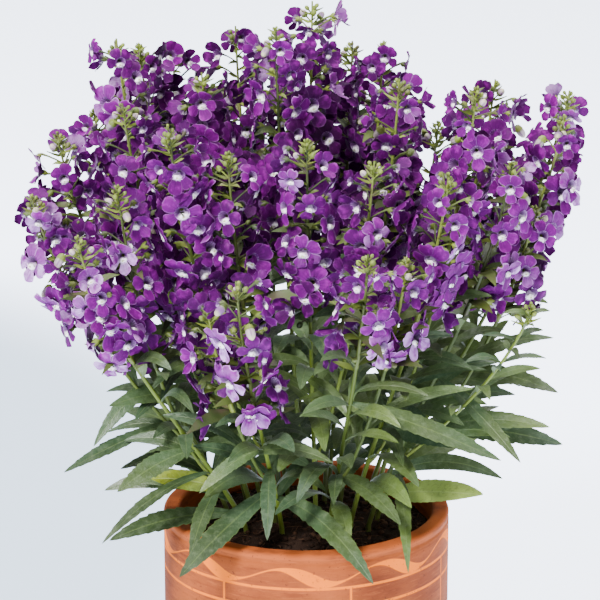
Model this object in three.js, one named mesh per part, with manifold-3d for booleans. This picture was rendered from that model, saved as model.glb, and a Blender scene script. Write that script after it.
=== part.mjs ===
// Potted angelonia: a clay pot with soil, branching leafy stems and their flower spikes.
// Millimetres, +Z up. The origin is the middle of the pot's underside, and the front is -Y.
import * as THREE from 'three';
import { mergeVertices } from 'three/addons/utils/BufferGeometryUtils.js';
import Module from 'manifold-3d';

const wasm = await Module();
wasm.setup();

// Clay pot
const potRadius = 77;
const potHeight = 140;
const potWall = 9;
const potFloor = 10;
const potSides = 32;
const drainRadius = 4.5;
const drainCircle = 32;
const drainCount = 3;

// Soil: its depth under the rim at the wall and at the crown of the plant
const soilEdgeDepth = 13;
const soilCrownDepth = 5;
const soilBump = 0.8;
const fit = 0.3;

// Stems
const plantingDepth = 12;
const groundRadius = 2.2;
const stemTopRadius = 1.5;
const branchRootRadius = 1.2;
const shootTipRadius = 1.1;
const footSpread = 0.3;
const ringStep = 34;
const pathSteps = 24;

// Bends of a stem: how far it splays and rises from the soil, and how upright it ends under its tip
const splayShare = 0.2;
const riseShare = 0.26;
const tipLeanShare = 0.12;
const tipRiseShare = 0.35;

// Branches: where one leaves its main stem, and its first pull along it and outwards
const forkPlace = 0.17;
const forkAhead = 20;
const forkOut = 15;
const forkClear = 12;

// Flower spikes
const rachisRadius = 1.8;
const budClusterRadius = 3.6;
const budClusterWaist = 1.6;
const budClusterPlace = 7;
const flowerSpacing = 7.2;
const flowersPerSolid = 3;
const topFlowerPlace = 17;
const spiralTurn = 137.5;
const flowerReach = 13.5;
const flowerRise = 6;
const pedicelRadius = 0.62;
const calyxRadius = 1.25;
const calyxDepth = 4.2;
const throatDepth = 2;

// Each lobe of a flower: degrees from the top, reach, and how far it leans to the front
const lobes = [[35, 11.8, -0.8], [106, 11, 0.6], [180, 11.4, 1.2], [254, 11, 0.6], [325, 11.8, -0.8]];
const lobeHalfAngle = 21;
const notchRadius = 5.4;
const throatSampleRadius = 5;
const lobeSampleRadius = 10.4;

// Leaves: each station of the blade is its place along the midrib and its left and right half widths
const bladeStations = [
  [0.15, 0.5, 0.5], [0.38, 0.96, 0.96], [0.55, 1, 0.82],
  [0.68, 0.74, 0.92], [0.8, 0.74, 0.52], [0.9, 0.32, 0.46],
];
const smallBladeStations = [[0.2, 0.6, 0.6], [0.46, 1, 1], [0.74, 0.62, 0.8]];
const leafRootHalfWidth = 0.9;
const bladeThickness = 1.3;
const bladeTipThinning = 0.4;
const bladeFaceTurn = 46;
const leafNodeStep = 24;
const firstLeafNode = 20;
const lastLeafRoom = 4;
const leafRootRoom = 9;

// A leaf's length, width, rise at its root and droop at its tip: at the soil and under the spike
const leafLengths = [76, 48];
const leafWidths = [15, 10.5];
const leafRises = [44, 30];
const leafDroops = [26, 14];

// Leaves by rule end within this distance of the pot's axis, or this far out from their own root
const leafSpread = 112;
const leafSpan = 25;

// Room kept between the sample points of neighbouring pieces
const clearance = 5.5;
const rimRoom = 3.5;
const soilRoom = 3;
const stemSampleStep = 3;
const leafSampleStep = 4;
const flowerTurns = [0, 35, -35, 70, -70, 110, -110];
const leafTurns = [0, 0.4, -0.4, 0.8, -0.8];

// Main stems: the tips of the spikes that each one carries, as x, y, z and the length of the spike.
// A length of 0 is a green shoot with no flowers.
const mainStems = [
  [[-35, -105, 295, 95], [-50, -80, 275, 66]],
  [[30, -110, 310, 70], [50, -85, 300, 62]],
  [[0, -60, 355, 100], [34, -60, 345, 100]],
  [[-40, -45, 345, 100], [-70, -50, 360, 120]],
  [[-115, -80, 310, 78], [-96, -55, 330, 100]],
  [[-130, 0, 345, 112], [-141, -35, 320, 96]],
  [[-95, -15, 365, 120], [-100, 25, 391, 128]],
  [[-90, 60, 380, 125], [-74, 92, 376, 120]],
  [[-38, 55, 392, 125], [-55, 15, 375, 120]],
  [[-16, 8, 399, 125], [3, 30, 410, 130]],
  [[25, 75, 380, 120], [41, 45, 384, 125]],
  [[48, -6, 376, 120], [70, 25, 345, 105]],
  [[71, -70, 340, 84], [86, -42, 378, 110]],
  [[104, -47, 340, 86], [114, -72, 273, 0]],
  [[134, -5, 355, 105], [118, -26, 312, 66]],
  [[101, 45, 365, 110], [140, 35, 361, 105]],
  [[-100, 96, 345, 105], [-115, 58, 345, 105]],
  [[-52, 126, 345, 105], [-15, 112, 365, 115]],
  [[30, 126, 345, 105], [52, 100, 345, 110]],
  [[110, 82, 345, 105]],
];

// Large leaves: the main stem, the height of the node above the soil, the tip, the width and
// how far the blade arches above the straight line to its tip
const largeLeaves = [
  [0, 34, [-65, -95, 135], 16, 3],
  [0, 26, [34, -100, 133], 15, 9],
  [0, 50, [-20, -98, 156], 10, 6],
  [0, 66, [-55, -80, 175], 9, 4],
  [1, 44, [48, -92, 162], 13, 5],
  [1, 24, [22, -80, 147], 11, 6],
  [1, 100, [99, -84, 194], 14, 2],
  [4, 30, [-82, -40, 169], 13, 2],
  [4, 44, [-105, -84, 149], 8, 7],
  [4, 12, [-103, -58, 141], 15, 5],
  [4, 62, [-98, -64, 170], 13, 3],
  [4, 34, [-60, -84, 142], 11, 6],
  [5, 62, [-127, -45, 174], 10, 3],
  [5, 84, [-112, -32, 184], 10, 8],
  [12, 62, [76, -66, 195], 16, 4],
  [13, 84, [129, -30, 243], 10, 10],
  [13, 60, [127, -42, 198], 12, 6],
  [13, 98, [110, -70, 188], 10, 3],
  [14, 16, [92, -54, 165], 20, 1],
  [14, 28, [52, -92, 136], 9, 12],
  [14, 92, [132, -30, 213], 13, 4],
  [14, 58, [136, -20, 181], 15, 3],
];

const up = new THREE.Vector3(0, 0, 1);
const across = new THREE.Vector3(1, 0, 0);
const radians = THREE.MathUtils.degToRad;
const innerRadius = potRadius - potWall;

// Seeded random draws
let seed = 20261;
function draw(low, high) {
  seed = (seed * 1664525 + 1013904223) % 4294967296;
  return low + ((high - low) * seed) / 4294967296;
}

function flat(point) {
  return new THREE.Vector3(point.x, point.y, 0);
}

function heading(azimuth) {
  return new THREE.Vector3(Math.cos(azimuth), Math.sin(azimuth), 0);
}

// Height of the soil: a low mound with shallow bumps
function soilHeight(x, y) {
  const fall = (x * x + y * y) / (innerRadius * innerRadius);
  const mound = (soilEdgeDepth - soilCrownDepth) * Math.min(fall, 1);
  const bumps = soilBump * Math.sin(0.19 * x + 1.3) * Math.cos(0.16 * y - 0.4);
  return potHeight - soilCrownDepth - mound + bumps;
}

// Closed surface through rings of points. A ring of one point closes an end, a wider one is capped.
function loft(rings) {
  const points = rings.flat();
  const index = [];
  let first = 0;
  for (let k = 0; k + 1 < rings.length; k += 1) {
    const here = rings[k].length;
    const there = rings[k + 1].length;
    const next = first + here;
    let i = 0;
    let j = 0;
    while (i < here || j < there) {
      if (i < here && (i + 1) / here <= (j + 1) / there) {
        if (here > 1) index.push(first + i, first + ((i + 1) % here), next + (j % there));
        i += 1;
      } else if (j < there) {
        if (there > 1) index.push(first + (i % here), next + ((j + 1) % there), next + j);
        j += 1;
      } else {
        if (here > 1) index.push(first + i, first + ((i + 1) % here), next + (j % there));
        i += 1;
      }
    }
    first = next;
  }
  const start = rings[0].length;
  for (let k = 1; k + 1 < start; k += 1) index.push(0, k + 1, k);
  const end = rings[rings.length - 1].length;
  for (let k = 1; k + 1 < end; k += 1) index.push(first, first + k, first + k + 1);
  const geometry = new THREE.BufferGeometry().setFromPoints(points);
  geometry.setIndex(index);
  return geometry;
}

// Signed volume of a closed indexed surface
function signedVolume(positions, index) {
  const corner = [new THREE.Vector3(), new THREE.Vector3(), new THREE.Vector3()];
  let total = 0;
  for (let k = 0; k < index.length; k += 3) {
    for (let c = 0; c < 3; c += 1) corner[c].fromArray(positions, 3 * index[k + c]);
    total += corner[0].dot(corner[1].clone().cross(corner[2])) / 6;
  }
  return total;
}

// Solid from a closed geometry, with shared vertices merged and the faces turned outwards
function toSolid(geometry) {
  geometry.deleteAttribute('normal');
  geometry.deleteAttribute('uv');
  const merged = mergeVertices(geometry, 1e-4);
  const positions = new Float32Array(merged.attributes.position.array);
  const corners = Array.from(merged.index.array);
  const index = [];
  for (let k = 0; k < corners.length; k += 3) {
    const [a, b, c] = corners.slice(k, k + 3);
    if (a !== b && b !== c && c !== a) index.push(a, b, c);
  }
  if (signedVolume(positions, index) < 0) index.reverse();
  const mesh = new wasm.Mesh({ numProp: 3, vertProperties: positions, triVerts: new Uint32Array(index) });
  return new wasm.Manifold(mesh);
}

function fuse(geometries) {
  return geometries.map(toSolid).reduce((whole, piece) => whole.add(piece));
}

const plant = new THREE.Group();

function addNode(name, solid, material) {
  const { vertProperties, triVerts } = solid.getMesh();
  const geometry = new THREE.BufferGeometry();
  geometry.setAttribute('position', new THREE.BufferAttribute(new Float32Array(vertProperties), 3));
  geometry.setIndex(Array.from(triVerts));
  geometry.computeVertexNormals();
  const mesh = new THREE.Mesh(geometry, material);
  mesh.name = name;
  plant.add(mesh);
}

// Search for free room: points already taken, kept in cubes with sides of one clearance
const taken = new Map();

function cube(x, y, z) {
  return `${x},${y},${z}`;
}

function cubeOf(point) {
  return point.toArray().map((value) => Math.floor(value / clearance));
}

// A sample is a point with the piece that owns it. One near a root may touch its own piece.
function isFree(samples) {
  for (const { point, owner, root } of samples) {
    const [cx, cy, cz] = cubeOf(point);
    for (let dx = -1; dx <= 1; dx += 1) {
      for (let dy = -1; dy <= 1; dy += 1) {
        for (let dz = -1; dz <= 1; dz += 1) {
          for (const other of taken.get(cube(cx + dx, cy + dy, cz + dz)) ?? []) {
            const kin = other.owner === owner && (root || other.root);
            if (!kin && other.point.distanceTo(point) < clearance) return false;
          }
        }
      }
    }
  }
  return true;
}

function take(samples) {
  for (const sample of samples) {
    const key = cube(...cubeOf(sample.point));
    if (!taken.has(key)) taken.set(key, []);
    taken.get(key).push(sample);
  }
}

// True where a point keeps off the pot's wall and the soil
function clearsPot({ point, root }) {
  const reach = Math.hypot(point.x, point.y);
  if (reach > potRadius + clearance) return true;
  if (reach > innerRadius - clearance) return point.z > potHeight + rimRoom;
  return root || point.z > soilHeight(point.x, point.y) + soilRoom;
}

// A path is a chain of points with the distance run at each one
function makePath(points) {
  const run = [0];
  for (let k = 1; k < points.length; k += 1) {
    run.push(run[k - 1] + points[k].distanceTo(points[k - 1]));
  }
  return { points, run, length: run[run.length - 1] };
}

function along(path, distance) {
  let k = 1;
  while (k < path.run.length - 1 && path.run[k] < distance) k += 1;
  const share = (distance - path.run[k - 1]) / (path.run[k] - path.run[k - 1]);
  return {
    point: path.points[k - 1].clone().lerp(path.points[k], share),
    direction: path.points[k].clone().sub(path.points[k - 1]).normalize(),
  };
}

function bend(start, leave, arrive, end) {
  return new THREE.CubicBezierCurve3(start, leave, arrive, end).getPoints(pathSteps);
}

// The last pull of every stem: nearly upright below its tip
function approach(start, tip) {
  const lean = flat(tip).sub(flat(start)).multiplyScalar(tipLeanShare);
  return tip.clone().sub(lean).addScaledVector(up, -tipRiseShare * (tip.z - start.z));
}

// Section of a stem across its direction, with a corner for each of the given degrees
const square = [45, 135, 225, 315];
const triangle = [90, 210, 330];
function stemRing({ point, direction }, radius, corners = square) {
  const side = across.clone().addScaledVector(direction, -across.dot(direction)).normalize();
  const front = direction.clone().cross(side);
  return corners.map((degrees) => {
    const angle = radians(degrees);
    return point.clone()
      .addScaledVector(side, radius * Math.cos(angle))
      .addScaledVector(front, radius * Math.sin(angle));
  });
}

// Tapered stem through distances along its path, with a point at its end if it grows no further
function stemTube(path, places, radiusFrom, radiusTo, pointed) {
  const last = places.length - 1;
  const rings = places.map((distance, k) => {
    const radius = radiusFrom + ((radiusTo - radiusFrom) * k) / last;
    return stemRing(along(path, distance), radius);
  });
  if (pointed) rings[last] = [along(path, places[last]).point];
  return loft(rings);
}

// Evenly spread distances, about one ring step apart
function evenly(from, to) {
  const steps = Math.max(2, Math.round((to - from) / ringStep));
  return Array.from({ length: steps + 1 }, (_, k) => from + ((to - from) * k) / steps);
}

function takeStem(path, from, owner) {
  for (let s = from; s < path.length; s += stemSampleStep) {
    take([{ point: along(path, s).point, owner, root: false }]);
  }
}

// One flower: a five lobed face with a sunk throat, its calyx and its pedicel down to the rachis
function flowerFrame(place, azimuth, tilt) {
  const out = heading(azimuth);
  out.addScaledVector(place.direction, -out.dot(place.direction)).normalize();
  const centre = place.point.clone()
    .addScaledVector(out, flowerReach)
    .addScaledVector(place.direction, flowerRise);
  const facing = out.clone().addScaledVector(up, Math.sin(tilt)).normalize();
  const side = up.clone().cross(facing).normalize();
  const head = facing.clone().cross(side);
  return { centre, facing, side, head, root: place.point };
}

function onFlower(frame, degrees, radius, depth) {
  const angle = radians(degrees);
  return frame.centre.clone()
    .addScaledVector(frame.side, radius * Math.sin(angle))
    .addScaledVector(frame.head, radius * Math.cos(angle))
    .addScaledVector(frame.facing, depth);
}

function flowerGeometry(frame) {
  const outline = [];
  lobes.forEach(([degrees, reach, lean], k) => {
    const next = k + 1 < lobes.length ? lobes[k + 1][0] : lobes[0][0] + 360;
    outline.push(onFlower(frame, degrees - lobeHalfAngle, reach, lean));
    outline.push(onFlower(frame, degrees + lobeHalfAngle, reach, lean));
    outline.push(onFlower(frame, (degrees + next) / 2, notchRadius, 0));
  });
  const calyxPlaces = [16, 142, 274];
  const calyx = calyxPlaces.map((degrees) => onFlower(frame, degrees, calyxRadius, -calyxDepth));
  const spread = pedicelRadius / calyxRadius;
  const back = frame.centre.clone().addScaledVector(frame.facing, -calyxDepth);
  const foot = calyx.map((point) => point.clone().sub(back).multiplyScalar(spread).add(frame.root));
  return loft([[onFlower(frame, 0, 0, -throatDepth)], outline, calyx, foot]);
}

function flowerSamples(frame, owner) {
  const samples = [{ point: frame.centre, owner, root: false }];
  for (let k = 0; k < 5; k += 1) {
    samples.push({ point: onFlower(frame, 72 * k, throatSampleRadius, 0), owner, root: false });
  }
  for (let k = 0; k < 10; k += 1) {
    samples.push({ point: onFlower(frame, 36 * k, lobeSampleRadius, 0), owner, root: false });
  }
  return samples;
}

// A leaf is a root, a bend and a tip, the midrib being the smooth curve that they steer. The more
// it points to either side of the plant, the further its face turns to the front, for the light.
function leafPlace({ root, bow, tip }, share) {
  const curve = new THREE.QuadraticBezierCurve3(root, bow, tip);
  const direction = bow.clone().sub(root).lerp(tip.clone().sub(bow), share).normalize();
  const level = direction.clone().cross(up).normalize();
  const crown = level.clone().cross(direction);
  const turn = (radians(bladeFaceTurn) * (tip.x - root.x)) / flat(tip).distanceTo(flat(root));
  const side = level.clone().multiplyScalar(Math.cos(turn)).addScaledVector(crown, -Math.sin(turn));
  const top = crown.multiplyScalar(Math.cos(turn)).addScaledVector(level, Math.sin(turn));
  return { point: curve.getPoint(share), side, top };
}

function leafRing(leaf, share, left, right) {
  const { point, side, top } = leafPlace(leaf, share);
  const depth = bladeThickness * (1 - bladeTipThinning * share);
  return [
    point.clone().addScaledVector(side, -left).addScaledVector(top, 0.3 * depth),
    point.clone().addScaledVector(side, right).addScaledVector(top, 0.3 * depth),
    point.clone().addScaledVector(top, -0.7 * depth),
  ];
}

function leafGeometry(leaf) {
  const half = leaf.width / 2;
  const rings = [leafRing(leaf, 0, leafRootHalfWidth, leafRootHalfWidth)];
  for (const [share, left, right] of leaf.stations) {
    rings.push(leafRing(leaf, share, left * half, right * half));
  }
  rings.push([leaf.tip]);
  return loft(rings);
}

function leafSamples(leaf, owner) {
  const length = leaf.root.distanceTo(leaf.tip);
  const steps = Math.ceil(length / leafSampleStep);
  const samples = [];
  for (let k = 1; k <= steps; k += 1) {
    const share = k / steps;
    const { point, side } = leafPlace(leaf, share);
    const root = share * length < leafRootRoom;
    samples.push({ point, owner, root });
    const half = 0.4 * leaf.width * Math.min(1, 4 * share * (1.02 - share) + 0.1);
    samples.push({ point: point.clone().addScaledVector(side, half), owner, root });
    samples.push({ point: point.clone().addScaledVector(side, -half), owner, root });
  }
  return samples;
}

// Leaf by rule: from a node on a stem, rising at first and then arching over
function archedLeaf(root, azimuth, length, width, rise, droop) {
  const out = heading(azimuth);
  const bow = root.clone()
    .addScaledVector(out, 0.5 * length * Math.cos(rise))
    .addScaledVector(up, 0.5 * length * Math.sin(rise));
  const tip = bow.clone()
    .addScaledVector(out, 0.55 * length * Math.cos(droop))
    .addScaledVector(up, -0.55 * length * Math.sin(droop));
  return { root, bow, tip, width, stations: smallBladeStations };
}

// True where a leaf by rule ends within the plant's spread, or close enough to its own root
function keepsIn({ root, tip }) {
  const reach = Math.hypot(tip.x, tip.y);
  return reach < Math.max(leafSpread, Math.hypot(root.x, root.y) + leafSpan);
}

// Layout of the stems: a main stem from the soil to its first tip, and a branch to its second
const stems = mainStems.map((tips, index) => {
  const [main, side] = tips.map(([x, y, z]) => new THREE.Vector3(x, y, z));
  const foot = flat(main).add(flat(side ?? main)).multiplyScalar(footSpread / 2);
  foot.z = soilHeight(foot.x, foot.y) + 1;
  const splay = flat(main).sub(flat(foot)).multiplyScalar(splayShare);
  const leave = foot.clone().add(splay).addScaledVector(up, riseShare * (main.z - foot.z));
  const buried = foot.clone().addScaledVector(up, -plantingDepth);
  const mainPath = makePath([buried, ...bend(foot, leave, approach(foot, main), main)]);
  const paths = [mainPath];
  if (side) {
    const fork = along(mainPath, plantingDepth + forkPlace * mainPath.length);
    const toward = flat(side).sub(flat(fork.point)).normalize();
    const start = fork.point.clone()
      .addScaledVector(fork.direction, forkAhead)
      .addScaledVector(toward, forkOut);
    paths.push(makePath(bend(fork.point, start, approach(fork.point, side), side)));
  }
  const spikes = tips.map(([, , , length]) => length);
  const spikeStarts = spikes.map((length, k) => paths[k].length - length);
  return { foot, paths, spikes, spikeStarts, leaves: [], owner: `stem${index}` };
});

for (const stem of stems) {
  stem.paths.forEach((path, k) => takeStem(path, k === 0 ? 0 : forkClear, stem.owner));
}

// Large leaves at their chosen places
for (const [index, height, [x, y, z], width, arch] of largeLeaves) {
  const stem = stems[index];
  const root = along(stem.paths[0], plantingDepth + height).point;
  const tip = new THREE.Vector3(x, y, z);
  const bow = root.clone().lerp(tip, 0.5).addScaledVector(up, 2 * arch);
  const leaf = { root, bow, tip, width, stations: bladeStations };
  take(leafSamples(leaf, stem.owner));
  stem.leaves.push(leaf);
}

// Flowers: a spiral down each spike, every third one a solid
const spikeNodes = [];
for (const stem of stems) {
  stem.paths.forEach((path, k) => {
    if (stem.spikes[k] === 0) return;
    const owner = `${stem.owner}spike${k}`;
    const flowers = [];
    let azimuth = draw(0, 360);
    for (let down = topFlowerPlace; down < stem.spikes[k]; down += flowerSpacing * flowersPerSolid) {
      const place = along(path, path.length - down);
      azimuth += spiralTurn * flowersPerSolid;
      const tilt = radians(draw(-12, 10));
      for (const shift of flowerTurns) {
        const frame = flowerFrame(place, radians(azimuth + shift), tilt);
        const samples = flowerSamples(frame, owner);
        if (isFree(samples)) {
          take(samples);
          flowers.push(flowerGeometry(frame));
          break;
        }
      }
    }
    spikeNodes.push({ path, start: stem.spikeStarts[k], flowers });
  });
}

// Leaves by rule: a pair at each node up a main stem, the outer one of each pair a solid
const between = ([low, high], share) => low + (high - low) * share;
for (const stem of stems) {
  const [path] = stem.paths;
  const tip = path.points[pathSteps];
  const outward = Math.atan2(tip.y - stem.foot.y, tip.x - stem.foot.x);
  let turn = draw(-0.6, 0.6);
  const lastNode = stem.spikeStarts[0] - lastLeafRoom;
  for (let s = plantingDepth + firstLeafNode; s < lastNode; s += leafNodeStep) {
    const share = (s - plantingDepth) / (stem.spikeStarts[0] - plantingDepth);
    const root = along(path, s).point;
    const length = between(leafLengths, share) + draw(-6, 6);
    const width = between(leafWidths, share) + draw(-1, 1);
    const rise = radians(between(leafRises, share) + draw(-10, 10));
    const droop = radians(between(leafDroops, share) + draw(-14, 14));
    for (const shift of leafTurns) {
      const leaf = archedLeaf(root, outward + turn + shift, length, width, rise, droop);
      const samples = leafSamples(leaf, stem.owner);
      if (keepsIn(leaf) && isFree(samples) && samples.every(clearsPot)) {
        take(samples);
        stem.leaves.push(leaf);
        break;
      }
    }
    turn = -turn + draw(-0.4, 0.4);
  }
}

// Clay pot: outer wall with a rounded lip over a shallow groove, turned as one profile
const clay = new THREE.MeshStandardMaterial({ color: '#c8704f', roughness: 0.8, metalness: 0 });
const potProfile = [
  [0, 0], [potRadius - 2.5, 0], [potRadius, 2.5], [potRadius, potHeight - 6],
  [potRadius - 0.7, potHeight - 5], [potRadius, potHeight - 4], [potRadius - 2, potHeight],
  [innerRadius + 2.2, potHeight], [innerRadius, potHeight - 2.2],
  [innerRadius, potFloor], [0, potFloor],
].map(([radius, height]) => new THREE.Vector2(radius, height));

function upright(geometry) {
  return geometry.rotateX(Math.PI / 2);
}

let pot = toSolid(upright(new THREE.LatheGeometry(potProfile, potSides)));
for (let k = 0; k < drainCount; k += 1) {
  const angle = (2 * Math.PI * k) / drainCount;
  const drain = upright(new THREE.CylinderGeometry(drainRadius, drainRadius, 2 * potFloor + 4, 8));
  drain.translate(drainCircle * Math.sin(angle), drainCircle * Math.cos(angle), potFloor / 2);
  pot = pot.subtract(toSolid(drain));
}
addNode('pot', pot, clay);

// Soil: a mound that fills the pot, with a plain hole for each main stem
const earth = new THREE.MeshStandardMaterial({ color: '#2c211b', roughness: 1, metalness: 0 });
const soilRings = [[new THREE.Vector3(0, 0, potFloor + fit)]];
function soilRing(radius, height) {
  const ring = [];
  for (let k = 0; k < potSides; k += 1) {
    const angle = (2 * Math.PI * k) / potSides;
    const [x, y] = [radius * Math.sin(angle), radius * Math.cos(angle)];
    ring.push(new THREE.Vector3(x, y, height ?? soilHeight(x, y)));
  }
  return ring;
}
soilRings.push(soilRing(innerRadius - fit, potFloor + fit));
for (const share of [1, 0.6]) soilRings.push(soilRing((innerRadius - fit) * share));
soilRings.push([new THREE.Vector3(0, 0, soilHeight(0, 0))]);
let soil = toSolid(loft(soilRings));
const holeRadius = groundRadius + fit * Math.SQRT2;
for (const { foot } of stems) {
  const bottom = foot.z - plantingDepth - fit;
  const depth = potHeight + 5 - bottom;
  const hole = upright(new THREE.CylinderGeometry(holeRadius, holeRadius, depth, 4)).rotateZ(Math.PI / 4);
  hole.translate(foot.x, foot.y, bottom + depth / 2);
  soil = soil.subtract(toSolid(hole));
}
addNode('soil', soil, earth);

// Leafy stems
const foliage = new THREE.MeshStandardMaterial({ color: '#5f7d4c', roughness: 0.6, metalness: 0 });
stems.forEach((stem, index) => {
  const parts = stem.paths.map((path, k) => {
    const shoot = stem.spikes[k] === 0;
    const end = stem.spikeStarts[k];
    const places = k === 0 ? [0, ...evenly(plantingDepth, end)] : evenly(0, end);
    const rootRadius = k === 0 ? groundRadius : branchRootRadius;
    return stemTube(path, places, rootRadius, shoot ? shootTipRadius : stemTopRadius, shoot);
  });
  parts.push(...stem.leaves.map(leafGeometry));
  addNode(`stem_${String(index + 1).padStart(2, '0')}`, fuse(parts), foliage);
});

// Young buds crowd round the tip of a spike as a three pointed ring
function budCluster(place) {
  return stemRing(place, 1, [30, 90, 150, 210, 270, 330]).map((corner, k) => {
    const reach = k % 2 === 0 ? budClusterRadius : budClusterWaist;
    return corner.sub(place.point).multiplyScalar(reach).add(place.point);
  });
}

// Flower spikes: the rachis, its flowers and the buds at its tip
const petals = new THREE.MeshStandardMaterial({ color: '#7a2a9c', roughness: 0.55, metalness: 0 });
spikeNodes.forEach(({ path, start, flowers }, index) => {
  const from = start + fit;
  const place = (share) => along(path, from + share * (path.length - from));
  const rachis = loft([
    stemRing(place(0), rachisRadius, triangle),
    stemRing(place(0.35), rachisRadius, triangle),
    stemRing(place(0.7), 0.9 * rachisRadius, triangle),
    budCluster(along(path, path.length - budClusterPlace)),
    [along(path, path.length).point],
  ]);
  addNode(`spike_${String(index + 1).padStart(2, '0')}`, fuse([rachis, ...flowers]), petals);
});

export default plant;
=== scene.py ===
"""Looks of the potted angelonia: finer leaves, flowers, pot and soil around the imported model."""

import math

import bmesh
import bpy
import numpy as np
from mathutils import Matrix, noise, Vector


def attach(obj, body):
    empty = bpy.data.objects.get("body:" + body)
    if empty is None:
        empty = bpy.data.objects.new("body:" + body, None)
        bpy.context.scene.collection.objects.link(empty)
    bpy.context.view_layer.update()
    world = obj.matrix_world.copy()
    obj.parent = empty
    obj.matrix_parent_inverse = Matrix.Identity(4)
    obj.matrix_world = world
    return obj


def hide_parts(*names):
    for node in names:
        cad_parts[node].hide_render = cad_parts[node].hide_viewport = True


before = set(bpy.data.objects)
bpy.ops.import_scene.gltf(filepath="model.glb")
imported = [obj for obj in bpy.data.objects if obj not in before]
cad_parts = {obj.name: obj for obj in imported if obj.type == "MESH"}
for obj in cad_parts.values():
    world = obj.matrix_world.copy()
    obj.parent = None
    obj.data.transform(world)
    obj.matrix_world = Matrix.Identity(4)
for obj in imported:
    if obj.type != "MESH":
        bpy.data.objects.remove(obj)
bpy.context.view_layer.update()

MM = 0.001

# Sizes repeated from the model's source, in millimetres
POT_RADIUS, POT_HEIGHT, POT_WALL, POT_FLOOR = 77, 140, 9, 10
INNER_RADIUS = POT_RADIUS - POT_WALL
DRAIN_RADIUS, DRAIN_CIRCLE, DRAIN_COUNT = 4.5, 32, 3
SOIL_EDGE_DEPTH, SOIL_CROWN_DEPTH, SOIL_BUMP = 13, 5, 0.8
BUMP_TURNS, BUMP_SHIFTS = (0.19, 0.16), (1.3, -0.4)
PLANTING_DEPTH = 12
GROUND_RADIUS, STEM_TOP_RADIUS, SHOOT_TIP_RADIUS = 2.2, 1.5, 1.1
FOOT_SPREAD, PATH_STEPS = 0.3, 24
SPLAY_SHARE, RISE_SHARE, TIP_LEAN_SHARE, TIP_RISE_SHARE = 0.2, 0.26, 0.12, 0.35
FORK_PLACE, FORK_AHEAD, FORK_OUT, FORK_CLEAR = 0.17, 20, 15, 12
FLOWER_SPACING, FLOWERS_PER_SOLID, TOP_FLOWER_PLACE, SPIRAL_TURN = 7.2, 3, 17, 137.5
FLOWER_REACH, FLOWER_RISE, CALYX_DEPTH = 13.5, 6, 4.2
THROAT_SAMPLE_RADIUS, LOBE_SAMPLE_RADIUS = 5, 10.4
LEAF_NODE_STEP, FIRST_LEAF_NODE, LAST_LEAF_ROOM, LEAF_ROOT_ROOM = 24, 20, 4, 9
LEAF_LENGTHS, LEAF_WIDTHS, LEAF_RISES, LEAF_DROOPS = (76, 48), (15, 10.5), (44, 30), (26, 14)
LEAF_SPREAD, LEAF_SPAN, BOW_SHARE, END_SHARE = 112, 25, 0.5, 0.55
BLADE_FACE_TURN = math.radians(46)
CLEARANCE, RIM_ROOM, SOIL_ROOM = 5.5, 3.5, 3
STEM_SAMPLE_STEP, LEAF_SAMPLE_STEP = 3, 4
FLOWER_TURNS = (0, 35, -35, 70, -70, 110, -110)
LEAF_TURNS = (0, 0.4, -0.4, 0.8, -0.8)

# Main stems: the tips of the spikes that each one carries, as x, y, z and the length of the spike
MAIN_STEMS = [
    [(-35, -105, 295, 95), (-50, -80, 275, 66)],
    [(30, -110, 310, 70), (50, -85, 300, 62)],
    [(0, -60, 355, 100), (34, -60, 345, 100)],
    [(-40, -45, 345, 100), (-70, -50, 360, 120)],
    [(-115, -80, 310, 78), (-96, -55, 330, 100)],
    [(-130, 0, 345, 112), (-141, -35, 320, 96)],
    [(-95, -15, 365, 120), (-100, 25, 391, 128)],
    [(-90, 60, 380, 125), (-74, 92, 376, 120)],
    [(-38, 55, 392, 125), (-55, 15, 375, 120)],
    [(-16, 8, 399, 125), (3, 30, 410, 130)],
    [(25, 75, 380, 120), (41, 45, 384, 125)],
    [(48, -6, 376, 120), (70, 25, 345, 105)],
    [(71, -70, 340, 84), (86, -42, 378, 110)],
    [(104, -47, 340, 86), (114, -72, 273, 0)],
    [(134, -5, 355, 105), (118, -26, 312, 66)],
    [(101, 45, 365, 110), (140, 35, 361, 105)],
    [(-100, 96, 345, 105), (-115, 58, 345, 105)],
    [(-52, 126, 345, 105), (-15, 112, 365, 115)],
    [(30, 126, 345, 105), (52, 100, 345, 110)],
    [(110, 82, 345, 105)],
]

# Tones that leaves may have, from dark to light, and past that bright green and yellowing
DARK, MIDDLE, LIGHT, BRIGHT, YELLOWING = 0.1, 0.4, 0.8, 1.3, 1.6

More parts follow.
